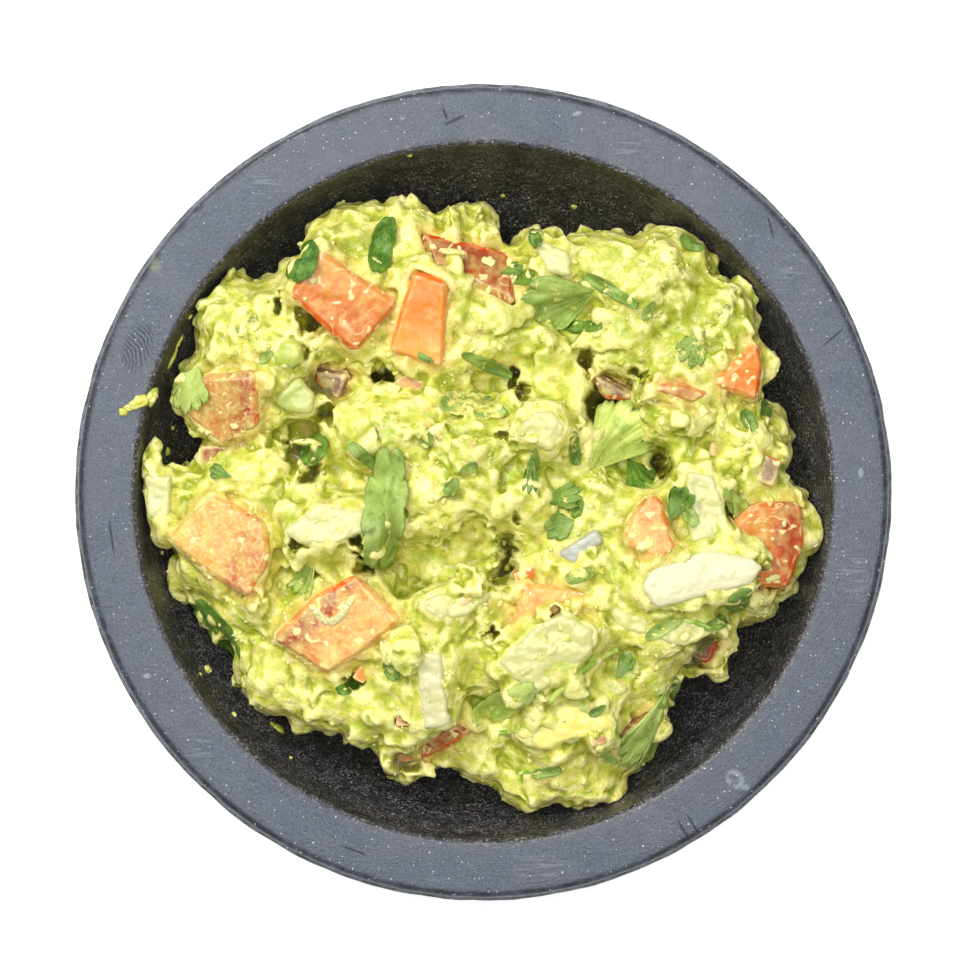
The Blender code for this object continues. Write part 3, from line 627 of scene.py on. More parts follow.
def filled_beds(mash):
    """Fills the bed under every piece, so that the mash closes round it and creeps over its edges."""
    shape = bmesh.new()
    shape.from_mesh(mash.data)
    bare = shape.faces.layers.float.new("bare")
    for node_name, below in FILLED_TO.items():
        old = len(shape.verts), len(shape.faces)
        shape.from_mesh(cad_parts[node_name].data)
        shape.verts.ensure_lookup_table()
        shape.faces.ensure_lookup_table()
        low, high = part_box(node_name)
        middle = (low + high) / 2
        for v in shape.verts[old[0]:]:
            v.co.xy = middle.xy + (v.co.xy - middle.xy) * 1.03
            v.co.z -= below * MM
        for f in shape.faces[old[1]:]:
            f[bare] = min(1.0, 0.55 + below)
    bmesh.ops.remove_doubles(shape, verts=shape.verts, dist=0.001 * MM)
    shape.to_mesh(mash.data)
    shape.free()


mash = copied("guacamole", "mash")
filled_beds(mash)
swell = mash.modifiers.new("swell", "DISPLACE")
swell.strength = 0.35 * MM
swell.mid_level = 0.0
beds = lump_tree()
add_nodes(mash, beds, **{
    "Per Square Metre": 52000.0, "Smallest": 1.3 * MM, "Largest": 3.6 * MM, "Sunk": 0.45, "Warp": 1.4 * MM,
    "Warp Size": 3.4 * MM, "Bare": 0.42, "Rarely Large": 1.4,
})
add_nodes(mash, beds, **{
    "Per Square Metre": 90000.0, "Smallest": 0.6 * MM, "Largest": 1.5 * MM, "Sunk": 0.30, "Warp": 0.9 * MM,
    "Warp Size": 1.6 * MM, "Bare": 0.53, "Rarely Large": 2.0, "Patch Size": 7 * MM, "Seed": 8,
})
melt = mash.modifiers.new("melt_together", "REMESH")
melt.mode = "VOXEL"
melt.voxel_size = CURD_VOXEL
blend = mash.modifiers.new("blend", "SMOOTH")
blend.iterations = 7
mash = made_real(mash, "melted_mash")
carve_pits(mash.data)
mash_paint = mash_finish()
add_nodes(mash, relief_tree(mash_paint))
settle = mash.modifiers.new("settle", "SMOOTH")
settle.iterations = 2
settle.factor = 0.45
mash = made_real(mash, "rough_mash")
keep_in_bowl(mash.data)
thin = mash.modifiers.new("thin", "DECIMATE")
thin.ratio = MASH_TRIANGLES / sum(len(p.vertices) - 2 for p in mash.data.polygons)
mash = made_real(mash, "mashed_guacamole")
stain_by_tomato(mash.data)
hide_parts("guacamole")
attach(mash, "root")

# ==== Loose curds ==============================================================================
# Crumbs of the same avocado, from a grain up to a lentil in size, stuck all over the mash in
# patches where the fork has broken it finest.


def curd_tree(finish):
    tree, given = new_tree("loose_curds", {
        "Mash": ("Object", None), "Per Square Metre": ("Float", 260000.0), "Smallest": ("Float", 0.26 * MM),
        "Largest": ("Float", 0.80 * MM), "Sunk": ("Float", 0.40), "Seed": ("Int", 21),
    })
    place = node(tree, "GeometryNodeInputPosition").outputs[0]
    mash_skin = node(tree, "GeometryNodeObjectInfo", {"Object": given["Mash"]}).outputs["Geometry"]
    upward = node(tree, "ShaderNodeSeparateXYZ", {0: node(tree, "GeometryNodeInputNormal").outputs[0]}).outputs[2]
    crumbly = spread(tree, fine_noise(tree, place, 6 * MM, 2.0), 0.46, 0.60)
    thick = maths(tree, "MULTIPLY", maths(tree, "MULTIPLY", crumbly, spread(tree, upward, 0.1, 0.6)),
                  given["Per Square Metre"])
    points = node(tree, "GeometryNodeDistributePointsOnFaces", {0: mash_skin, "Density": thick, "Seed": given["Seed"]})
    luck = node(tree, "FunctionNodeRandomValue", {"Seed": given["Seed"]}, data_type="FLOAT").outputs[1]
    size = spread(tree, maths(tree, "POWER", luck, 2.2), 0.0, 1.0, given["Smallest"], given["Largest"])
    sink = maths(tree, "MULTIPLY", maths(tree, "MULTIPLY", size, given["Sunk"]), -1.0)
    sunk = node(tree, "GeometryNodeSetPosition", {
        0: points.outputs["Points"], "Offset": vector_maths(tree, "SCALE", points.outputs["Normal"], scale=sink),
    })
    shape = node(tree, "FunctionNodeRandomValue", {0: (0.8, 0.7, 0.6), 1: (1.4, 1.1, 0.9)},
                 data_type="FLOAT_VECTOR").outputs[0]
    turn = node(tree, "FunctionNodeRandomValue", {0: (0, 0, 0), 1: (6.28, 6.28, 6.28), "Seed": 5},
                data_type="FLOAT_VECTOR").outputs[0]
    ball = node(tree, "GeometryNodeMeshIcoSphere", {"Radius": 1.0, "Subdivisions": 2}).outputs[0]
    curds = node(tree, "GeometryNodeInstanceOnPoints", {
        0: sunk.outputs[0], "Instance": ball, "Rotation": turn,
        "Scale": vector_maths(tree, "SCALE", shape, scale=size),
    })
    real = node(tree, "GeometryNodeRealizeInstances", {0: curds.outputs[0]})
    warp = node(tree, "ShaderNodeTexNoise", {"Vector": place, "Scale": 1 / (0.5 * MM), "Detail": 1.0}).outputs["Color"]
    aside = vector_maths(tree, "SCALE", vector_maths(tree, "SUBTRACT", warp, (0.5, 0.5, 0.5)), scale=0.9 * MM)
    warped = node(tree, "GeometryNodeSetPosition", {0: real.outputs[0], "Offset": aside})
    # The curds' crest value makes the paste's colour paint them pale cream in patches, its painted highlight.
    crest_mark = spread(tree, fine_noise(tree, place, 3 * MM, 1.0), 0.35, 0.65, 0.45, 0.85)
    marked_curds = node(tree, "GeometryNodeStoreNamedAttribute", {0: warped.outputs[0], "Name": "crest", "Value": crest_mark},
                        data_type="FLOAT", domain="POINT")
    finish_tree(tree, marked_curds.outputs[0], finish)
    return tree


curds = link("curd_seed", bpy.data.meshes.new("curd_seed"))
add_nodes(curds, curd_tree(mash_paint), Mash=mash)
curds = made_real(curds, "loose_curds")
keep_in_bowl(curds.data)
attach(curds, "root")

# ==== Diced tomato =============================================================================
# Ripe tomato cut by hand in uneven dice. Most show wet, grainy flesh, their cut edges painted
# paler as a painted highlight, and one side of each still has its glossy skin. Some are half
# under a film of mash.
DICE_VOXEL = 0.27 * MM


def hand_cut_tree(finish):
    """Makes a plain block look cut by hand, bends it, and marks its skin, grain and edges."""
    tree, given = new_tree("hand_cut", {
        "Middle": ("Vector", None), "Heading": ("Float", 0.0), "Bend": ("Float", 0.0),
        "Ripe": ("Float", 0.0), "Coated": ("Float", 0.3), "Waver": ("Float", 0.32 * MM),
        "Waver Size": ("Float", 4.0 * MM), "Grain Height": ("Float", 0.08 * MM),
        "Edge Height": ("Float", 0.28 * MM), "Blush": ("Float", 0.0),
    })
    place = node(tree, "GeometryNodeInputPosition").outputs[0]
    normal = node(tree, "GeometryNodeInputNormal").outputs[0]
    ahead = node(tree, "ShaderNodeCombineXYZ", {
        0: maths(tree, "COSINE", given["Heading"]), 1: maths(tree, "SINE", given["Heading"]),
    }).outputs[0]
    aside = vector_maths(tree, "CROSS_PRODUCT", (0.0, 0.0, 1.0), ahead)
    own = vector_maths(tree, "SUBTRACT", place, given["Middle"])
    along = vector_maths(tree, "DOT_PRODUCT", own, ahead)
    across = vector_maths(tree, "DOT_PRODUCT", own, aside)
    height = node(tree, "ShaderNodeSeparateXYZ", {0: own}).outputs[2]
    grain = node(tree, "ShaderNodeCombineXYZ", {0: along, 1: across, 2: height}).outputs[0]
    sag = maths(tree, "MULTIPLY", maths(tree, "MULTIPLY", across, across), given["Bend"])
    waver_scale = maths(tree, "DIVIDE", 1.0, given["Waver Size"])
    waver = node(tree, "ShaderNodeTexNoise", {"Vector": place, "Scale": waver_scale, "Detail": 2.0}).outputs[0]
    rough = fine_noise(tree, place, 0.7 * MM, 2.0)
    push = maths(tree, "ADD",
                 maths(tree, "MULTIPLY", maths(tree, "SUBTRACT", waver, 0.5), maths(tree, "MULTIPLY", given["Waver"], 2.0)),
                 maths(tree, "MULTIPLY", maths(tree, "SUBTRACT", rough, 0.5), given["Grain Height"]))
    offset = vector_maths(tree, "ADD", vector_maths(tree, "SCALE", normal, scale=push),
                          node(tree, "ShaderNodeCombineXYZ", {2: sag}).outputs[0])
    smooth = node(tree, "GeometryNodeBlurAttribute", {"Value": place, "Iterations": 8},
                  data_type="FLOAT_VECTOR").outputs[0]
    over = vector_maths(tree, "DOT_PRODUCT", vector_maths(tree, "SUBTRACT", place, smooth), normal)
    facing = vector_maths(tree, "DOT_PRODUCT", normal, ahead)
    # The edge mark is how far a point stands proud of its neighbours; the tomato paints it paler as a painted
    # highlight.
    marks = {
        "edge": maths(tree, "DIVIDE", over, given["Edge Height"]), "skin": spread(tree, facing, 0.35, 0.6),
        "ripe": given["Ripe"], "coated": given["Coated"], "grain": grain, "blush": given["Blush"],
    }
    geometry = node(tree, "GeometryNodeSetPosition", {0: given["Geometry"], "Offset": offset}).outputs[0]
    for label, value in marks.items():
        kind = "FLOAT_VECTOR" if label == "grain" else "FLOAT"
        geometry = node(tree, "GeometryNodeStoreNamedAttribute", {0: geometry, "Name": label, "Value": value},
                        data_type=kind, domain="POINT").outputs[0]
    finish_tree(tree, geometry, finish)
    return tree


def marked(tree, name, output="Fac"):
    return node(tree, "ShaderNodeAttribute", attribute_name=name).outputs[output]


MASH_FILM = (0.76, 0.71, 0.20)


def under_film(tree, place, colour, size=2.2 * MM):
    """The colour under patches of clinging mash, as much as the piece is coated. Also the film's share."""
    cloud = fine_noise(tree, place, size, 2.0, 0.6)
    line = maths(tree, "SUBTRACT", 0.86, maths(tree, "MULTIPLY", marked(tree, "coated"), 0.62))
    film = spread(tree, cloud, maths(tree, "SUBTRACT", line, 0.30), maths(tree, "ADD", line, 0.18), 0.0, 0.66)
    return mixed(tree, film, colour, MASH_FILM), film


def tomato_finish():
    made, tree, shader, place = new_material(
        "tomato", Subsurface_Weight=0.25, Subsurface_Radius=(1.0, 0.4, 0.15), Subsurface_Scale=1.0 * MM,
        Coat_Weight=0.14, Coat_Roughness=0.14, Specular_IOR_Level=0.32,
    )
    fibres = node(tree, "ShaderNodeMapping", {0: marked(tree, "grain", "Vector"), "Scale": (0.35, 1.0, 1.0)}).outputs[0]
    flesh = fine_noise(tree, fibres, 1.1 * MM, 4.0, 0.65)
    colour = mixed(tree, marked(tree, "ripe"), (0.80, 0.23, 0.030), (0.20, 0.022, 0.004))
    pale = mixed(tree, marked(tree, "ripe"), (0.90, 0.42, 0.075), (0.50, 0.16, 0.05))
    deep = node(tree, "ShaderNodeSeparateXYZ", {0: marked(tree, "grain", "Vector")}).outputs[0]
    colour = mixed(tree, spread(tree, deep, 1.0 * MM, -5.0 * MM, 0.0, 0.7), colour, pale)
    colour = mixed(tree, spread(tree, flesh, 0.50, 0.72, 0.0, 0.55), colour, pale)
    band = maths(tree, "ADD", deep, spread(tree, fine_noise(tree, place, 3 * MM, 2.0), 0.3, 0.7, -1.6 * MM, 1.6 * MM))
    band = maths(tree, "MULTIPLY", spread(tree, band, 1.2 * MM, 2.6 * MM), marked(tree, "blush"))
    colour = mixed(tree, band, colour, (0.36, 0.035, 0.012))
    # Past a ripeness of 1 the flesh goes dark brown: the own dark purple-red of tomato_13, and painted shade on
    # tomato_15 and tomato_16, which lie in shadowed hollows.
    colour = mixed(tree, spread(tree, marked(tree, "ripe"), 1.0, 2.0), colour, (0.17, 0.075, 0.05))
    # Painted highlight: convex cut edges painted paler, as light catching them.
    colour = mixed(tree, spread(tree, marked(tree, "edge"), 0.20, 0.65, 0.0, 0.8), colour, (0.92, 0.70, 0.38))
    skin = mixed(tree, marked(tree, "ripe"), (0.84, 0.15, 0.008), (0.55, 0.022, 0.003))
    colour = mixed(tree, marked(tree, "skin"), colour, skin)
    drag = fine_noise(tree, place, 4.2 * MM, 2.0, 0.5, 0.8)
    smear = spread(tree, maths(tree, "ABSOLUTE", maths(tree, "SUBTRACT", drag, 0.5)), 0.030, 0.006, 0.0, 0.65)
    smear = maths(tree, "MULTIPLY", smear, spread(tree, fine_noise(tree, place, 5.5 * MM, 1.0), 0.48, 0.56))
    smear = maths(tree, "MULTIPLY", smear, spread(tree, marked(tree, "coated"), 0.45, 0.36))
    dots = spread(tree, fine_noise(tree, place, 1.3 * MM, 0.0), 0.70, 0.75, 0.0, 0.85)
    dots = maths(tree, "MULTIPLY", dots, spread(tree, marked(tree, "coated"), 0.02, 0.12))
    smear = maths(tree, "MULTIPLY", smear, spread(tree, marked(tree, "ripe"), 1.2, 1.0))
    smear = maths(tree, "MULTIPLY", smear, spread(tree, marked(tree, "coated"), 0.02, 0.12))
    colour = mixed(tree, maths(tree, "MAXIMUM", smear, dots), colour, (0.90, 0.71, 0.34))
    core = vector_maths(tree, "LENGTH", marked(tree, "grain", "Vector"))
    core = maths(tree, "MULTIPLY", spread(tree, core, 5.5 * MM, 1.5 * MM, 0.0, 0.8), spread(tree, marked(tree, "coated"), 0.46, 0.48))
    colour = mixed(tree, core, colour, (0.88, 0.68, 0.28))
    frost = spread(tree, fine_noise(tree, place, 0.55 * MM, 1.0, 0.6), 0.52, 0.66, 0.0, 0.28)
    frost = maths(tree, "MULTIPLY", frost, spread(tree, marked(tree, "coated"), 0.30, 0.46))
    colour = mixed(tree, frost, colour, (0.92, 0.80, 0.56))
    colour, film = under_film(tree, place, colour)
    tree.links.new(colour, shader.inputs["Base Color"])
    wet = spread(tree, marked(tree, "skin"), 0.0, 1.0, 0.32, 0.16)
    tree.links.new(spread(tree, film, 0.0, 1.0, wet, 0.45), shader.inputs["Roughness"])
    bump(tree, shader, maths(tree, "ADD", flesh, maths(tree, "MULTIPLY", film, 1.5)), 0.15 * MM, 0.6)
    return made


def cut_piece(node_name, name, tree, voxel, rounding, **values):
    """A packed block made over as a hand-cut piece in its place."""
    low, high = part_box(node_name)
    made = copied(node_name, "rough_" + name)
    fine = made.modifiers.new("fine", "REMESH")
    fine.mode = "VOXEL"
    fine.voxel_size = voxel
    blunt = made.modifiers.new("blunt", "SMOOTH")
    blunt.iterations = rounding
    add_nodes(made, tree, Middle=(low + high) / 2, **values)
    made = made_real(made, name)
    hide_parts(node_name)
    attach(made, "root")
    return made


# Each die: how ripe, how coated, and which way its skin looks, in degrees from +X. The ripeness
# near 2 of tomato_15 and tomato_16 paints them dark brown as painted shade.
TOMATO_LOOKS = {
    "tomato_1": (0.30, 0.14, 250), "tomato_2": (0.0, 0.02, 90), "tomato_3": (0.85, 0.26, 70),
    "tomato_4": (0.60, 0.45, 0), "tomato_5": (0.20, 0.48, 330), "tomato_6": (0.34, 0.44, 140),
    "tomato_7": (0.14, 0.12, 340), "tomato_8": (0.36, 0.20, 0), "tomato_9": (0.15, 0.40, 40),
    "tomato_10": (0.15, 0.40, 270), "tomato_11": (0.85, 0.26, 300), "tomato_12": (0.95, 0.30, 320),
    "tomato_13": (1.7, 0.16, 300), "tomato_14": (0.62, 0.32, 20), "tomato_15": (1.9, 0.32, 180),
    "tomato_16": (1.9, 0.36, 270),
}

# How dark red the flesh is on the side with the skin.
BLUSH = {"tomato_4": 1.0, "tomato_5": 0.55, "tomato_6": 0.95, "tomato_8": 0.85, "tomato_9": 0.45, "tomato_10": 0.3}

dice_tree = hand_cut_tree(tomato_finish())
dice = []
for node_name, (ripe, coated, heading) in TOMATO_LOOKS.items():
    die = cut_piece(node_name, node_name.replace("tomato", "tomato_die"), dice_tree, DICE_VOXEL, 1,
                    Ripe=ripe, Coated=coated, Heading=math.radians(heading), Blush=BLUSH.get(node_name, 0.0))
    dice.append(die)

# ==== Cut onion ================================================================================
# White onion cut across its layers, so each piece is a slightly cupped plate. It is wet and half
# clear, with fine threads along it, and a little green or cloudy where mash clings.


def onion_finish():
    made, tree, shader, place = new_material(
        "onion", Subsurface_Weight=0.35, Subsurface_Radius=(1.0, 1.0, 0.7), Subsurface_Scale=1.6 * MM,
        Coat_Weight=0.25, Coat_Roughness=0.16, Roughness=0.30, Transmission_Weight=0.12,
    )
    threads = node(tree, "ShaderNodeMapping", {0: marked(tree, "grain", "Vector"), "Scale": (0.12, 1.0, 1.0)}).outputs[0]
    line = fine_noise(tree, threads, 0.6 * MM, 3.0, 0.6)
    cloud = fine_noise(tree, place, 4.0 * MM, 2.0)
    colour = mixed(tree, marked(tree, "ripe"), (0.79, 0.76, 0.46), (0.46, 0.56, 0.10))
    colour = mixed(tree, spread(tree, line, 0.50, 0.72, 0.0, 0.55), colour, (0.60, 0.62, 0.30))
    colour = mixed(tree, spread(tree, marked(tree, "ripe"), 1.0, 2.0), colour, (0.50, 0.50, 0.42))
    clear = maths(tree, "MULTIPLY", spread(tree, cloud, 0.42, 0.62, 0.0, 1.3), maths(tree, "FRACT", marked(tree, "ripe")))
    colour = mixed(tree, clear, colour, (0.60, 0.62, 0.20))
    colour, film = under_film(tree, place, colour, 2.6 * MM)
    tree.links.new(colour, shader.inputs["Base Color"])
    bump(tree, shader, maths(tree, "ADD", line, maths(tree, "MULTIPLY", film, 1.5)), 0.12 * MM, 0.5)
    return made


# Each piece: how green, how coated, the way its threads run in degrees, and its cup per metre.
ONION_LOOKS = {
    "onion_1": (0.0, 0.04, 12, -18), "onion_2": (0.30, 0.45, 100, 14), "onion_3": (0.16, 0.62, 175, -12),
    "onion_4": (0.08, 0.30, 85, 10), "onion_5": (0.40, 0.54, 30, -8), "onion_6": (0.42, 0.74, 160, -8),
    "onion_7": (2.0, 0.10, 32, 12), "onion_8": (0.34, 0.40, 90, 0), "onion_9": (0.32, 0.72, 10, -12),
    "onion_10": (0.34, 0.70, 60, -10), "onion_11": (0.95, 0.20, 60, 0), "onion_12": (0.35, 0.42, 100, 0),
    "onion_13": (0.60, 0.45, 0, 0), "onion_14": (0.65, 0.66, 170, -10),
}

plate_tree = hand_cut_tree(onion_finish())
plates = []
for node_name, (green, coated, heading, cup) in ONION_LOOKS.items():
    plate = cut_piece(node_name, node_name.replace("onion", "onion_plate"), plate_tree, 0.28 * MM, 4,
                      Ripe=green, Coated=coated, Heading=math.radians(heading), Bend=float(cup),
                      Waver=(0.25 if coated < 0.2 else 0.62) * MM, **{"Waver Size": 2.8 * MM})
    plates.append(plate)

# ==== Firm avocado =============================================================================
# Two bits of avocado that were too firm to mash: smooth, buttery, greener near the skin side.


def avocado_finish():
    made, tree, shader, place = new_material(
        "firm_avocado", Subsurface_Weight=0.3, Subsurface_Radius=(1.0, 0.9, 0.2), Subsurface_Scale=1.0 * MM,
        Coat_Weight=0.2, Coat_Roughness=0.2, Roughness=0.38,
    )
    cloud = fine_noise(tree, place, 2.5 * MM, 3.0, 0.6)
    colour = mixed(tree, marked(tree, "ripe"), (0.84, 0.72, 0.16), (0.34, 0.46, 0.03))
    colour = mixed(tree, spread(tree, cloud, 0.4, 0.7, 0.0, 0.5), colour, (0.88, 0.84, 0.34))
    colour, film = under_film(tree, place, colour)
    tree.links.new(colour, shader.inputs["Base Color"])
    bump(tree, shader, maths(tree, "ADD", cloud, film), 0.2 * MM, 0.5)
    return made


firm_tree = hand_cut_tree(avocado_finish())
bits = []
for node_name, green, coated in (("avocado_1", 0.0, 0.35), ("avocado_2", 1.0, 0.30)):
    bit = cut_piece(node_name, node_name.replace("avocado", "firm_avocado"), firm_tree, DICE_VOXEL, 5,
                    Ripe=green, Coated=coated, Waver=0.8 * MM)
    bits.append(bit)

# ==== Coriander ================================================================================
# Fresh coriander, roughly chopped: thin toothed fans with fine veins, some whole, some cut
# across or curled. They lie on the mash or are stirred halfway into it.
LEAF_RINGS = 10
LEAF_SPOKES = 90
LEAF_THICK = 0.14 * MM

# Each leaf: x and y of its middle, half length and half width in millimetres, the way its tip
# looks in degrees, half spread of a fan in degrees (0 for an oval leaf), lobes, their depth, how
# pale, how filmed with mash, how high it lies and how much its edge curls up, in millimetres.
LEAVES = [
    (-15.0, -2.4, 10.6, 3.5, 264, 0, 8, 0.27, 0.42, 0.02, 2.40, 0.1),
    (-18.6, 5.8, 2.9, 1.0, 318, 0, 3, 0.24, 0.30, 0.02, 0.90, 0.3),
    # This leaf lies in a shadowed gap; its low paleness is partly painted shade.
    (-26.2, 6.6, 3.0, 2.0, 60, 0, 2, 0.17, 0.10, 0.02, 0.60, 0.8),
    (20.2, 8.2, 6.6, 5.8, 48, 62, 5, 0.11, 0.92, 0.02, 1.50, 0.5),
    (11.8, 29.4, 6.2, 4.8, 196, 72, 4, 0.15, 0.42, 0.30, 1.20, 0.5),
    (-15.6, 38.2, 5.0, 1.9, 78, 0, 4, 0.14, 0.06, 0.10, 0.40, 1.4),
    (-45.4, 15.8, 3.9, 3.6, 255, 80, 5, 0.22, 0.62, 0.10, 0.90, 0.3),
    (7.3, 3.0, 3.4, 1.5, 265, 40, 3, 0.45, 0.16, 0.10, 0.50, 0.2),
    (8.0, 5.0, 2.0, 0.5, 95, 0, 2, 0.22, 0.16, 0.05, 0.50, 0.2),
    (-2.0, 13.6, 5.9, 2.2, 352, 0, 5, 0.15, 0.34, 0.55, 0.10, 0.6),
    (0.6, 19.6, 4.6, 0.9, 338, 0, 2, 0.06, 0.34, 0.12, 0.50, 0.9),
    # This leaf lies in a shadowed gap; its low paleness is partly painted shade.
    (24.6, 2.4, 3.4, 3.0, 300, 75, 4, 0.28, 0.10, 0.18, 0.30, 0.9),
    (32.3, 22.4, 3.2, 2.8, 240, 70, 4, 0.35, 0.26, 0.40, 0.20, 0.5),
    (11.7, -0.8, 3.6, 2.2, 10, 55, 4, 0.30, 0.20, 0.35, 0.20, 0.5),
    (11.7, -5.1, 2.6, 2.2, 200, 85, 4, 0.25, 0.22, 0.25, 0.40, 0.6),
    (-27.2, -12.6, 4.1, 2.2, 246, 40, 4, 0.20, 0.50, 0.42, 0.15, 0.4),
    (-27.6, 35.2, 3.7, 2.4, 62, 0, 3, 0.20, 0.00, 0.02, 0.90, 0.6),
    (26.0, -37.0, 7.0, 4.2, 242, 38, 6, 0.20, 0.52, 0.06, 1.00, 0.6),
    (29.5, -31.5, 3.0, 1.8, 60, 0, 4, 0.30, 0.26, 0.15, 0.60, 0.6),
    (3.2, -32.8, 6.1, 2.4, 212, 0, 6, 0.08, 0.72, 0.10, 0.70, 0.4),
    (8.0, 39.4, 2.0, 1.0, 100, 0, 3, 0.25, 0.10, 0.05, 0.90, 0.9), (4.4, 34.4, 1.8, 1.2, 20, 55, 3, 0.3, 0.1, 0.2, 0.6, 0.5),
    (-21.0, -30.2, 2.0, 0.9, 20, 0, 3, 0.22, 0.02, 0.02, 0.30, 0.4), (38.4, -1.4, 2.0, 1.1, 280, 0, 3, 0.2, 0.55, 0.02, 0.8, 0.4),
    (14.4, -2.6, 1.6, 0.8, 60, 0, 3, 0.3, 0.10, 0.30, 0.20, 0.4), (-33.4, 20.8, 1.4, 0.7, 40, 0, 2, 0.2, 0.5, 0.3, 0.2, 0.3),
    (25.4, 27.8, 1.8, 0.7, 60, 0, 3, 0.3, 0.40, 0.30, 0.20, 0.4), (-2.0, 3.6, 1.5, 0.8, 200, 0, 3, 0.3, 0.3, 0.3, 0.2, 0.3),
    (17.4, -33.6, 1.6, 0.6, 30, 0, 3, 0.3, 0.20, 0.30, 0.20, 0.3), (-9.0, 20.6, 1.5, 0.6, 330, 0, 3, 0.3, 0.20, 0.30, 0.20, 0.3),
    (32.2, 38.7, 2.2, 1.1, 325, 0, 3, 0.24, 0.22, 0.05, 0.60, 0.8),
    (44.0, 13.4, 1.8, 1.1, 300, 0, 3, 0.27, 0.14, 0.05, 0.50, 0.5),
    (-41.6, -21.4, 6.2, 2.1, 308, 0, 5, 0.12, 0.10, 0.12, 0.40, 0.9),
    (39.2, -16.6, 2.4, 1.9, 60, 0, 3, 0.24, 0.16, 0.12, 0.50, 0.7),
    (29.7, -1.8, 3.5, 2.3, 62, 55, 3, 0.24, 0.08, 0.10, 0.50, 1.0),
    (31.6, -3.6, 2.0, 1.0, 300, 0, 2, 0.22, 0.40, 0.10, 0.50, 0.6),
    (19.6, 31.2, 5.6, 0.9, 328, 0, 4, 0.12, 0.24, 0.30, 0.20, 0.8),
    (15.6, 25.8, 3.4, 1.0, 358, 0, 4, 0.30, 0.10, 0.24, 0.30, 0.4),
    (21.6, -27.0, 2.2, 1.6, 60, 45, 3, 0.25, 0.14, 0.20, 0.30, 0.5),
    (9.8, -43.4, 2.8, 0.8, 10, 0, 4, 0.27, 0.30, 0.35, 0.20, 0.4),
    (19.6, -41.5, 1.5, 0.9, 330, 0, 3, 0.30, 0.34, 0.35, 0.20, 0.3),
    (-40.6, 3.0, 2.0, 1.3, 160, 55, 3, 0.20, 0.10, 0.20, 0.30, 0.5),
    (-4.8, 0.8, 1.6, 1.0, 60, 0, 3, 0.27, 0.24, 0.30, 0.20, 0.4),
    (6.4, 33.0, 1.9, 1.4, 20, 60, 3, 0.20, 0.05, 0.15, 0.30, 0.6),
    (41.0, 11.0, 2.2, 1.1, 300, 0, 3, 0.24, 0.20, 0.20, 0.20, 0.5),
    (27.4, -21.0, 3.4, 1.0, 28, 0, 3, 0.22, 0.42, 0.35, 0.15, 0.4),
    (-9.0, 8.6, 2.2, 1.2, 120, 0, 4, 0.27, 0.20, 0.55, 0.00, 0.4),
    (14.0, 6.5, 2.8, 0.9, 95, 0, 3, 0.24, 0.12, 0.45, 0.10, 0.4),
    (-36.2, 25.4, 2.4, 1.3, 210, 0, 4, 0.27, 0.30, 0.60, 0.00, 0.4),
    (37.2, 27.2, 2.1, 1.0, 70, 0, 4, 0.27, 0.30, 0.55, 0.00, 0.4),
    (14.8, -12.6, 2.6, 1.1, 15, 0, 4, 0.27, 0.30, 0.50, 0.00, 0.4),
    (-14.2, -27.4, 2.0, 1.0, 120, 0, 3, 0.27, 0.12, 0.35, 0.10, 0.4),
    (36.0, -20.2, 2.2, 0.9, 200, 0, 3, 0.27, 0.16, 0.30, 0.20, 0.4),
]


def lobed(beat):
    """Rounded lobes with narrow notches between, each with three small teeth of its own."""
    return abs(math.sin(math.pi * beat)) ** 0.5, abs(math.sin(math.pi * beat * 3)) ** 0.6


def leaf_edge(half_long, half_wide, fan, lobes, depth, chance):
    """The outline round its middle, or round the stalk for a fan: along, aside and notch there."""
    swell = [chance.uniform(0.90, 1.08) for _ in range(lobes + 2)]
    plain = []
    for spoke in range(LEAF_SPOKES + 1):
        if fan:
            bearing = math.radians(fan) * (2 * spoke / LEAF_SPOKES - 1)
            narrow = half_wide / (2 * half_long * math.sin(math.radians(min(fan, 90))))
            plain.append((2 * half_long * math.cos(bearing * 0.75), 2 * half_long * math.sin(bearing) * narrow))
        else:
            bearing = 2 * math.pi * spoke / LEAF_SPOKES - math.pi
            plain.append((half_long * math.cos(bearing), half_wide * math.sin(bearing)))
    steps = [math.dist(p, q) for p, q in zip(plain, plain[1:])]
    edge, gone = [], 0.0
    for (along, aside), step in zip(plain, steps):
        beat = min(gone / sum(steps), 0.999) * lobes
        lobe, tooth = lobed(beat)
        first, second = swell[int(beat)], swell[int(beat) + 1]
        notch = 1 - depth * (1 - lobe) - 0.05 * (1 - tooth)
        edge.append((along, aside, notch * ((first + (second - first) * (beat % 1.0)) if fan else 1.0)))
        gone += step
    return edge, (-half_long if fan else 0.0)


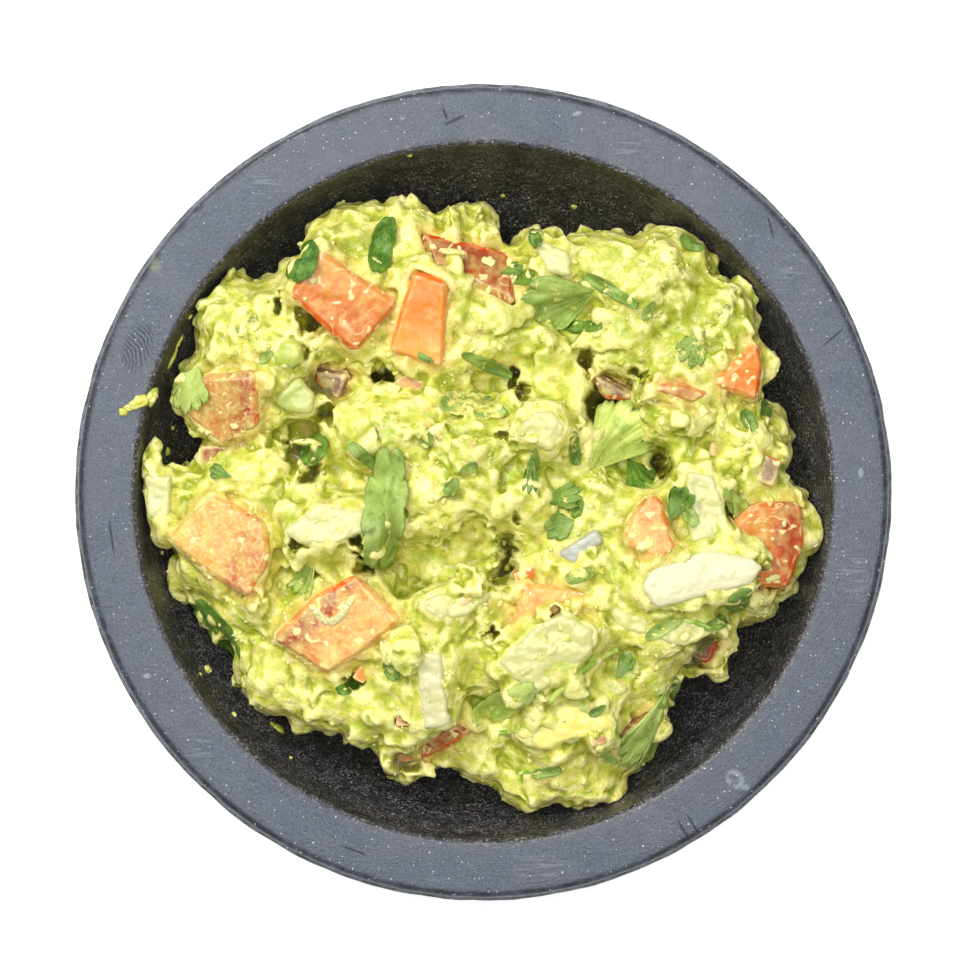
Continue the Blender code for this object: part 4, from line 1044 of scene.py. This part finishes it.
def leaf_blades(leaves):
    """All the leaves as flat rings and spokes, each point marked with its place on its own leaf."""
    shape = bmesh.new()
    own = shape.verts.layers.float_vector.new("own")
    looks = shape.verts.layers.float_vector.new("looks")
    lay = shape.verts.layers.float_vector.new("lay")
    for number, (x, y, half_long, half_wide, tip, fan, lobes, depth, pale, coated, height, curl) in enumerate(leaves):
        chance = random.Random(40 + number)
        bow = chance.uniform(-0.5, 0.5)
        edge, start = leaf_edge(half_long, half_wide, fan, lobes, depth, chance)
        c, s = math.cos(math.radians(tip)), math.sin(math.radians(tip))
        rings = []
        for ring in range(LEAF_RINGS + 1):
            share = ring / LEAF_RINGS
            row = []
            for out, side, notch in edge if ring else [(0.0, 0.0, 1.0)]:
                reach = share * (1 + (notch - 1) * share ** 3)
                along, aside = start + out * reach, side * reach
                aside += bow * along * along / half_long * 0.25
                v = shape.verts.new(((x + c * along - s * aside) * MM, (y + s * along + c * aside) * MM, RIM + 14 * MM))
                v[own] = Vector((along + half_long, aside, share))
                v[looks] = Vector((pale, coated, number))
                v[lay] = Vector((-height, curl, lobes))
                row.append(v)
            rings.append(row)
        for inner, outer in zip(rings, rings[1:]):
            for i in range(LEAF_SPOKES - 1 if fan else LEAF_SPOKES):
                j = (i + 1) % LEAF_SPOKES
                if len(inner) == 1:
                    shape.faces.new((inner[0], outer[i], outer[j]))
                else:
                    shape.faces.new((inner[i], outer[i], outer[j], inner[j]))
    mesh = bpy.data.meshes.new("flat_leaves")
    shape.to_mesh(mesh)
    shape.free()
    return link("flat_leaves", mesh)


def joined_skin(objects):
    """One object with the meshes of several, for things to be laid on."""
    shape = bmesh.new()
    for made in objects:
        shape.from_mesh(made.data)
    mesh = bpy.data.meshes.new("food_skin")
    shape.to_mesh(mesh)
    shape.free()
    return link("food_skin", mesh)


def laid_tree(finish):
    """Lays flat things on the food: down to it, eased over its bumps, edges curled, rippled."""
    tree, given = new_tree("laid_on_food", {
        "Food": ("Object", None), "Ease": ("Int", 14), "Ripple": ("Float", 0.35 * MM),
        "Ripple Size": ("Float", 2.6 * MM), "Lowest": ("Float", RIM - 16 * MM),
    })
    place = node(tree, "GeometryNodeInputPosition").outputs[0]
    food = node(tree, "GeometryNodeObjectInfo", {"Object": given["Food"]}).outputs["Geometry"]
    ray = node(tree, "GeometryNodeRaycast", {
        "Target Geometry": food, "Source Position": place, "Ray Direction": (0.0, 0.0, -1.0), "Ray Length": 0.1,
    })
    height = node(tree, "ShaderNodeSeparateXYZ", {0: ray.outputs["Hit Position"]}).outputs[2]
    height = node(tree, "GeometryNodeSwitch", {
        "Switch": ray.outputs["Is Hit"], "False": given["Lowest"], "True": height,
    }, input_type="FLOAT").outputs[0]
    height = maths(tree, "MAXIMUM", height, given["Lowest"])
    eased = node(tree, "GeometryNodeBlurAttribute", {"Value": height, "Iterations": given["Ease"]},
                 data_type="FLOAT").outputs[0]
    lay = node(tree, "ShaderNodeSeparateXYZ", {
        0: node(tree, "GeometryNodeInputNamedAttribute", {"Name": "lay"}, data_type="FLOAT_VECTOR").outputs[0]})
    own = node(tree, "ShaderNodeSeparateXYZ", {
        0: node(tree, "GeometryNodeInputNamedAttribute", {"Name": "own"}, data_type="FLOAT_VECTOR").outputs[0]})
    out = maths(tree, "POWER", own.outputs[2], 3.0)
    curl = maths(tree, "MULTIPLY", maths(tree, "MULTIPLY", out, lay.outputs[1]), MM)
    swell = fine_noise(tree, place, 3.5 * MM, 1.0)
    curl = maths(tree, "MULTIPLY", curl, spread(tree, swell, 0.35, 0.65, -0.2, 1.4))
    ripple = node(tree, "ShaderNodeTexNoise", {
        "Vector": place, "Scale": maths(tree, "DIVIDE", 1.0, given["Ripple Size"]), "Detail": 2.0}).outputs[0]
    ripple = maths(tree, "MULTIPLY", maths(tree, "SUBTRACT", ripple, 0.5), maths(tree, "MULTIPLY", given["Ripple"], 2.0))
    rise = maths(tree, "SUBTRACT", maths(tree, "ADD", curl, ripple), maths(tree, "MULTIPLY", lay.outputs[0], MM))
    flat = node(tree, "ShaderNodeSeparateXYZ", {0: place})
    target = node(tree, "ShaderNodeCombineXYZ", {
        0: flat.outputs[0], 1: flat.outputs[1], 2: maths(tree, "ADD", eased, rise)}).outputs[0]
    moved = node(tree, "GeometryNodeSetPosition", {0: given["Geometry"], "Position": target})
    finish_tree(tree, moved.outputs[0], finish)
    return tree


def leaf_finish():
    """Thin green leaf: paler or darker by the leaf, with light veins, dark wet edges and some mash."""
    made, tree, shader, place = new_material(
        "coriander", Subsurface_Weight=0.15, Subsurface_Radius=(0.6, 1.0, 0.15), Subsurface_Scale=0.5 * MM,
        Coat_Weight=0.12, Coat_Roughness=0.2, Roughness=0.45, Specular_IOR_Level=0.35,
    )
    own = node(tree, "ShaderNodeSeparateXYZ", {0: marked(tree, "own", "Vector")})
    looks = node(tree, "ShaderNodeSeparateXYZ", {0: marked(tree, "looks", "Vector")})
    lay = node(tree, "ShaderNodeSeparateXYZ", {0: marked(tree, "lay", "Vector")})
    along, aside, share = own.outputs[0], own.outputs[1], own.outputs[2]
    pale, coated, number = looks.outputs[0], looks.outputs[1], looks.outputs[2]
    wander = fine_noise(tree, place, 2.0 * MM, 2.0)
    bearing = maths(tree, "ARCTAN2", aside, maths(tree, "ADD", along, 0.25))
    bearing = maths(tree, "ADD", bearing, spread(tree, wander, 0.3, 0.7, -0.10, 0.10))
    beat = maths(tree, "MULTIPLY", bearing, maths(tree, "MULTIPLY", lay.outputs[2], 0.62))
    off = maths(tree, "ABSOLUTE", maths(tree, "SUBTRACT", maths(tree, "FRACT", maths(tree, "ADD", beat, 20.0)), 0.5))
    width = maths(tree, "DIVIDE", 0.16, maths(tree, "ADD", along, 1.2))
    main = spread(tree, off, width, maths(tree, "MULTIPLY", width, 0.3), 0.0, 1.0)
    net = node(tree, "ShaderNodeTexVoronoi", {"Vector": place, "Scale": 1 / (1.1 * MM)},
               feature="DISTANCE_TO_EDGE").outputs["Distance"]
    small = spread(tree, net, 0.0, 0.09, 0.55, 0.0)
    vein = maths(tree, "MAXIMUM", main, small)
    cloud = fine_noise(tree, place, 2.2 * MM, 3.0, 0.6)
    colour = mixed(tree, pale, (0.030, 0.115, 0.006), (0.62, 0.76, 0.15))
    light = mixed(tree, pale, (0.22, 0.40, 0.03), (0.84, 0.88, 0.34))
    colour = mixed(tree, spread(tree, cloud, 0.40, 0.68, 0.0, 0.55), colour, light)
    colour = mixed(tree, spread(tree, cloud, 0.46, 0.30, 0.0, 0.40), colour, (0.03, 0.13, 0.008))
    colour = mixed(tree, maths(tree, "MULTIPLY", vein, 0.6), colour, light)
    colour = mixed(tree, spread(tree, share, 0.92, 1.0, 0.0, 0.40), colour, (0.035, 0.12, 0.008))
    film_cloud = fine_noise(tree, place, 1.5 * MM, 4.0, 0.65, 0.5)
    line = maths(tree, "SUBTRACT", 0.80, maths(tree, "MULTIPLY", coated, 0.55))
    film = spread(tree, film_cloud, maths(tree, "SUBTRACT", line, 0.05), maths(tree, "ADD", line, 0.05), 0.0, 0.9)
    colour = mixed(tree, film, colour, MASH_FILM)
    tree.links.new(colour, shader.inputs["Base Color"])
    relief = maths(tree, "SUBTRACT", maths(tree, "MULTIPLY", film, 1.2), maths(tree, "MULTIPLY", vein, 0.5))
    bump(tree, shader, maths(tree, "ADD", relief, maths(tree, "MULTIPLY", cloud, 0.6)), 0.15 * MM, 0.7)
    return made


food = joined_skin([mash] + dice + plates + bits)
leaves = leaf_blades(LEAVES)
add_nodes(leaves, laid_tree(leaf_finish()), Food=food)
thick = leaves.modifiers.new("thick", "SOLIDIFY")
thick.thickness = LEAF_THICK
leaves = made_real(leaves, "coriander_leaves")
keep_in_bowl(leaves.data)
bpy.data.objects.remove(food)
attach(leaves, "root")

# ==== Stalks ===================================================================================
# Bits of coriander stalk, thin, round and pale green, pressed into the mash beside the leaves.
# Each: x and y of both ends, bow and radius, in millimetres.
STALKS = [
    (9.9, -32.2, 20.6, -24.2, 0.9, 0.55), (36.2, -0.2, 40.6, -2.4, 0.2, 1.0),
    (2.4, -37.4, 6.4, -36.2, -0.3, 0.40), (-20.6, 7.6, -17.4, 4.2, 0.2, 0.45), (22.4, 1.6, 26.8, 0.4, 0.3, 0.40),
    (30.8, -19.6, 35.6, -21.6, 0.4, 0.45), (5.6, -43.9, 12.6, -42.9, 0.3, 0.35),
]


def stalk_tree(finish):
    tree, given = new_tree("stalks_on_food", {"Food": ("Object", None), "Sunk": ("Float", 0.1 * MM)})
    place = node(tree, "GeometryNodeInputPosition").outputs[0]
    food_skin = node(tree, "GeometryNodeObjectInfo", {"Object": given["Food"]}).outputs["Geometry"]
    ray = node(tree, "GeometryNodeRaycast", {
        "Target Geometry": food_skin, "Source Position": place, "Ray Direction": (0.0, 0.0, -1.0), "Ray Length": 0.1,
    })
    height = node(tree, "ShaderNodeSeparateXYZ", {0: ray.outputs["Hit Position"]}).outputs[2]
    eased = node(tree, "GeometryNodeBlurAttribute", {"Value": height, "Iterations": 6}, data_type="FLOAT").outputs[0]
    flat = node(tree, "ShaderNodeSeparateXYZ", {0: place})
    target = node(tree, "ShaderNodeCombineXYZ", {
        0: flat.outputs[0], 1: flat.outputs[1], 2: maths(tree, "SUBTRACT", eased, given["Sunk"])}).outputs[0]
    laid = node(tree, "GeometryNodeSetPosition", {0: given["Geometry"], "Position": target}).outputs[0]
    radius = node(tree, "GeometryNodeInputRadius").outputs[0]
    ring = node(tree, "GeometryNodeCurvePrimitiveCircle", {"Resolution": 14, "Radius": 1.0}).outputs[0]
    tube = node(tree, "GeometryNodeCurveToMesh", {
        0: laid, "Profile Curve": ring, "Scale": radius, "Fill Caps": True}).outputs[0]
    finish_tree(tree, tube, finish)
    return tree


def stalk_finish():
    made, tree, shader, place = new_material(
        "coriander_stalk", Subsurface_Weight=0.3, Subsurface_Radius=(0.8, 1.0, 0.2), Subsurface_Scale=0.6 * MM,
        Coat_Weight=0.2, Coat_Roughness=0.2, Roughness=0.35,
    )
    cloud = fine_noise(tree, place, 1.8 * MM, 2.0)
    colour = mixed(tree, spread(tree, cloud, 0.35, 0.65), (0.22, 0.40, 0.03), (0.60, 0.68, 0.16))
    tree.links.new(colour, shader.inputs["Base Color"])
    bump(tree, shader, fine_noise(tree, place, 0.5 * MM, 1.0), 0.1 * MM, 0.5)
    return made


lines = bpy.data.curves.new("stalk_lines", "CURVE")
lines.dimensions = "3D"
for x0, y0, x1, y1, bow, radius in STALKS:
    line = lines.splines.new("POLY")
    line.points.add(15)
    for i, point in enumerate(line.points):
        t = i / 15
        side = Vector((-(y1 - y0), x1 - x0)).normalized() * bow * 4 * t * (1 - t)
        point.co = ((x0 + (x1 - x0) * t + side.x) * MM, (y0 + (y1 - y0) * t + side.y) * MM, RIM + 14 * MM, 1.0)
        point.radius = radius * MM * (1.0 - 0.15 * t)
food = joined_skin([mash] + dice + plates + bits)
stalks = link("stalk_lines", lines)
add_nodes(stalks, stalk_tree(stalk_finish()), Food=food)
stalks = made_real(stalks, "coriander_stalks")
keep_in_bowl(stalks.data)
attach(stalks, "root")

# ==== Scraps of tomato =========================================================================
# Small trimmings of ripe tomato caught between the lumps of mash, skin side up or out.
# Each: x, y, length, width and thickness in millimetres, turn in degrees, ripeness, coat, rise.
SCRAPS = [
    (-11.0, 17.0, 3.4, 2.4, 2.0, 30, 0.60, 0.35, 0.2), (7.2, -12.6, 4.0, 2.0, 2.2, 20, 0.30, 0.20, 0.2),
    (-12.1, -35.2, 2.2, 1.4, 1.4, 0, 0.90, 0.20, -0.2), (44.2, 3.4, 3.4, 2.2, 2.0, 70, 1.8, 0.35, 0.1),
    (-41.6, 6.0, 3.6, 2.2, 2.0, 0, 0.90, 0.30, 0.0), (-14.0, 15.4, 2.2, 1.6, 1.2, 70, 0.50, 0.50, 0.1),
    (-2.8, -16.4, 1.8, 1.0, 1.0, 40, 0.30, 0.40, 0.1), (-18.6, -27.8, 2.4, 1.6, 1.2, 60, 0.05, 0.20, 0.2),
    (17.6, -38.0, 2.0, 1.2, 1.0, 10, 0.70, 0.45, 0.1), (36.0, 6.8, 2.0, 1.4, 1.2, 80, 0.80, 0.45, 0.1),
    (28.6, -24.0, 2.2, 1.2, 1.0, 30, 0.60, 0.55, 0.0), (33.4, 12.2, 1.8, 1.2, 1.0, 40, 0.30, 0.50, 0.1),
]

skin_of_food = bmesh.new()
skin_of_food.from_mesh(food.data)
food_tree = BVHTree.FromBMesh(skin_of_food)
skin_of_food.free()
bpy.data.objects.remove(food)
scraps = []
for number, (x, y, long, wide, thick, turn, ripe, coated, rise) in enumerate(SCRAPS):
    shape = bmesh.new()
    bmesh.ops.create_cube(shape, size=1.0)
    hit = food_tree.ray_cast(Vector((x * MM, y * MM, RIM + 20 * MM)), Vector((0.0, 0.0, -1.0)))[0]
    place = Vector((x * MM, y * MM, hit.z + (rise - thick / 2) * MM))
    tilt = Matrix.Rotation(math.radians(12 * math.sin(number * 2.1)), 4, "X")
    size = Matrix.Diagonal((long * 1.25 * MM, wide * 1.25 * MM, thick * MM, 1.0))
    bmesh.ops.transform(shape, matrix=Matrix.Translation(place) @ Matrix.Rotation(math.radians(turn), 4, "Z") @ tilt @ size,
                        verts=shape.verts)
    mesh = bpy.data.meshes.new("rough_scrap")
    shape.to_mesh(mesh)
    shape.free()
    scrap = link("rough_scrap", mesh)
    fine = scrap.modifiers.new("fine", "REMESH")
    fine.mode = "VOXEL"
    fine.voxel_size = 0.26 * MM
    blunt = scrap.modifiers.new("blunt", "SMOOTH")
    blunt.iterations = 3
    add_nodes(scrap, dice_tree, Middle=place, Ripe=ripe, Coated=coated, Heading=math.radians(turn), Waver=0.4 * MM)
    scraps.append(made_real(scrap, "scrap"))
with bpy.context.temp_override(active_object=scraps[0], selected_editable_objects=scraps):
    bpy.ops.object.join()
scraps = scraps[0]
scraps.name = "tomato_scraps"
keep_in_bowl(scraps.data)
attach(scraps, "root")

# ==== Dabs and crumbs of mash ==================================================================
# Dabs of mash left on top of the dice and plates when the bowl was stirred, and crumbs and
# smears on the bare wall and the rim where the spoon went in and out.
# Each: x, y and half size in millimetres, how long it is drawn out, and its turn in degrees.
DABS = [
    (-5.1, 37.0, 0.9, 2.4, 170), (0.9, 35.7, 0.7, 1.6, 160), (4.2, 34.2, 1.4, 1.3, 100), (-6.3, 39.8, 0.5, 1.4, 0),
    (-1.6, 33.0, 0.35, 1.0, 0), (0.8, 31.2, 0.45, 1.5, 60), (-26.0, 32.4, 0.5, 1.2, 0), (-27.2, 29.6, 0.3, 1.0, 0),
    (-33.2, -10.0, 0.45, 1.3, 60), (-35.2, -4.2, 0.3, 1.2, 0), (38.6, 17.4, 0.40, 1.3, 40), (40.6, 18.6, 0.3, 1.0, 0),
    (37.0, 16.4, 0.35, 1.0, 0), (39.6, 21.0, 0.3, 1.2, 60), (44.7, -13.2, 0.5, 2.4, 15), (44.6, -7.2, 0.3, 1.0, 0),
    (46.4, -4.8, 0.35, 1.3, 80), (42.8, -9.4, 0.25, 1.0, 0), (24.6, -8.0, 0.8, 1.8, 200), (22.8, -6.6, 0.5, 1.2, 0),
    (-38.4, 10.2, 0.45, 1.5, 0), (-43.8, 9.6, 0.5, 1.6, 200), (-24.4, 18.6, 0.35, 1.0, 0), (33.6, -0.8, 0.3, 1.2, 0),
    (10.4, -24.0, 0.45, 2.4, 40), (6.4, -27.2, 0.4, 2.2, 35), (-10.4, 36.0, 0.7, 1.4, 50), (13.4, 27.2, 0.4, 1.2, 0),
]
# One long squiggle of mash, laid as overlapping dabs along a bow.
DABS += [(-26.0 + 5.8 * t, -17.8 - 2.6 * math.sin(math.pi * t) + 1.4 * t, 0.62 - 0.25 * abs(t - 0.4), 1.5, 108 * t - 49)
         for t in (step / 15 for step in range(16))]
CRUMBS = [
    (-51.6, 14.8, 1.35, 1.2, 200), (-53.2, 14.0, 0.9, 1.8, 205), (-54.7, 13.2, 0.55, 2.4, 205), (-55.7, 12.4, 0.65, 1.1, 0),
    (-48.8, 20.8, 0.5, 3.4, 62), (-47.6, 23.6, 0.45, 2.6, 60), (-43.6, -28.0, 0.7, 1.2, 20), (-44.4, -28.6, 0.3, 1.0, 0),
    (-39.2, -35.0, 0.45, 1.0, 0), (-32.6, -37.8, 0.7, 1.5, 140), (-33.6, -37.0, 0.4, 1.0, 0), (-11.4, 52.4, 0.4, 1.0, 0),
    (-50.2, 6.4, 0.5, 1.4, 80), (-49.4, 10.2, 0.4, 1.0, 0), (50.2, -5.6, 0.4, 1.0, 0), (-45.8, 27.4, 0.4, 1.2, 40),
    (3.2, 47.6, 0.35, 1.0, 0), (14.6, 45.8, 0.4, 1.3, 10), (-50.8, -9.6, 0.35, 1.0, 0), (-30.4, -42.0, 0.3, 1.0, 0),
]


def dropped(name, spots, skin, flat, pale):
    """Lumps of mash, uneven and drawn out, lying on a surface. flat is their height to width."""
    shape = bmesh.new()
    crest_mark = shape.verts.layers.float.new("crest")
    for number, (x, y, half, drawn, turn) in enumerate(spots):
        hit, normal = skin.ray_cast(Vector((x * MM, y * MM, RIM + 20 * MM)), Vector((0.0, 0.0, -1.0)))[:2]
        lie = Vector((0.0, 0.0, 1.0)).rotation_difference(normal).to_matrix().to_4x4()
        lie = lie @ Matrix.Rotation(math.radians(turn), 4, "Z")
        size = Matrix.Diagonal((half * drawn * MM, half * MM, half * flat * MM, 1.0))
        made = bmesh.ops.create_icosphere(shape, subdivisions=4, radius=1.0)["verts"]
        for v in made:
            v.co *= 1.0 + 0.34 * noise.noise(v.co * 1.5 + Vector((number, 0.0, 0.0))) + 0.06 * noise.noise(v.co * 4.0)
            # The crest value pale makes the paste's colour paint these lumps cream, its painted highlight.
            v[crest_mark] = pale
        bmesh.ops.transform(shape, matrix=Matrix.Translation(hit + normal * half * 0.15 * MM) @ lie @ size, verts=made)
    for face in shape.faces:
        face.smooth = True
    mesh = bpy.data.meshes.new(name)
    shape.to_mesh(mesh)
    shape.free()
    mesh.materials.append(mash_paint)
    made = link(name, mesh)
    if skin is food_tree:
        keep_in_bowl(mesh)
    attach(made, "root")
    return made


shape = bmesh.new()
shape.from_mesh(bowl.data)
bowl_tree = BVHTree.FromBMesh(shape)
shape.free()
dropped("mash_on_the_pieces", DABS, food_tree, 0.45, 0.92)
dropped("fallen_crumbs", CRUMBS, bowl_tree, 0.6, 0.52)

# ==== Floor and light ==========================================================================
# A plain white floor, lit a little from inside as a light table is, a broad soft box overhead,
# a smaller one from behind on the left, and a pale room around them.
FLOOR_HALF = 2.0
floor_mesh = bpy.data.meshes.new("floor")
corners = [(-FLOOR_HALF, -FLOOR_HALF), (FLOOR_HALF, -FLOOR_HALF), (FLOOR_HALF, FLOOR_HALF), (-FLOOR_HALF, FLOOR_HALF)]
floor_mesh.from_pydata([(x, y, 0.0) for x, y in corners], [], [(0, 1, 2, 3)])
floor = link("floor", floor_mesh)
white_floor = new_material(
    "white_floor", Base_Color=(0.92, 0.92, 0.92, 1.0), Roughness=0.9, Emission_Color=(1.0, 1.0, 1.0, 1.0),
    Emission_Strength=0.45,
)[0]
floor_mesh.materials.append(white_floor)


def area_light(name, place, across, energy):
    data = bpy.data.lights.new(name, "AREA")
    data.shape = "DISK"
    data.size = across
    data.energy = energy
    made = link(name, data)
    made.location = place
    made.rotation_euler = (Vector((0.0, 0.0, 0.03)) - made.location).to_track_quat("-Z", "Y").to_euler()
    return made


area_light("overhead_box", (0.0, 0.10, 1.1), 0.9, 9.0)
area_light("key_box", (-0.38, 0.50, 0.75), 0.32, 5.5)

room = bpy.data.worlds.new("pale_room")
room.use_nodes = True
room.node_tree.nodes["Background"].inputs["Color"].default_value = (1.0, 1.0, 1.0, 1.0)
room.node_tree.nodes["Background"].inputs["Strength"].default_value = 0.32
bpy.context.scene.world = room
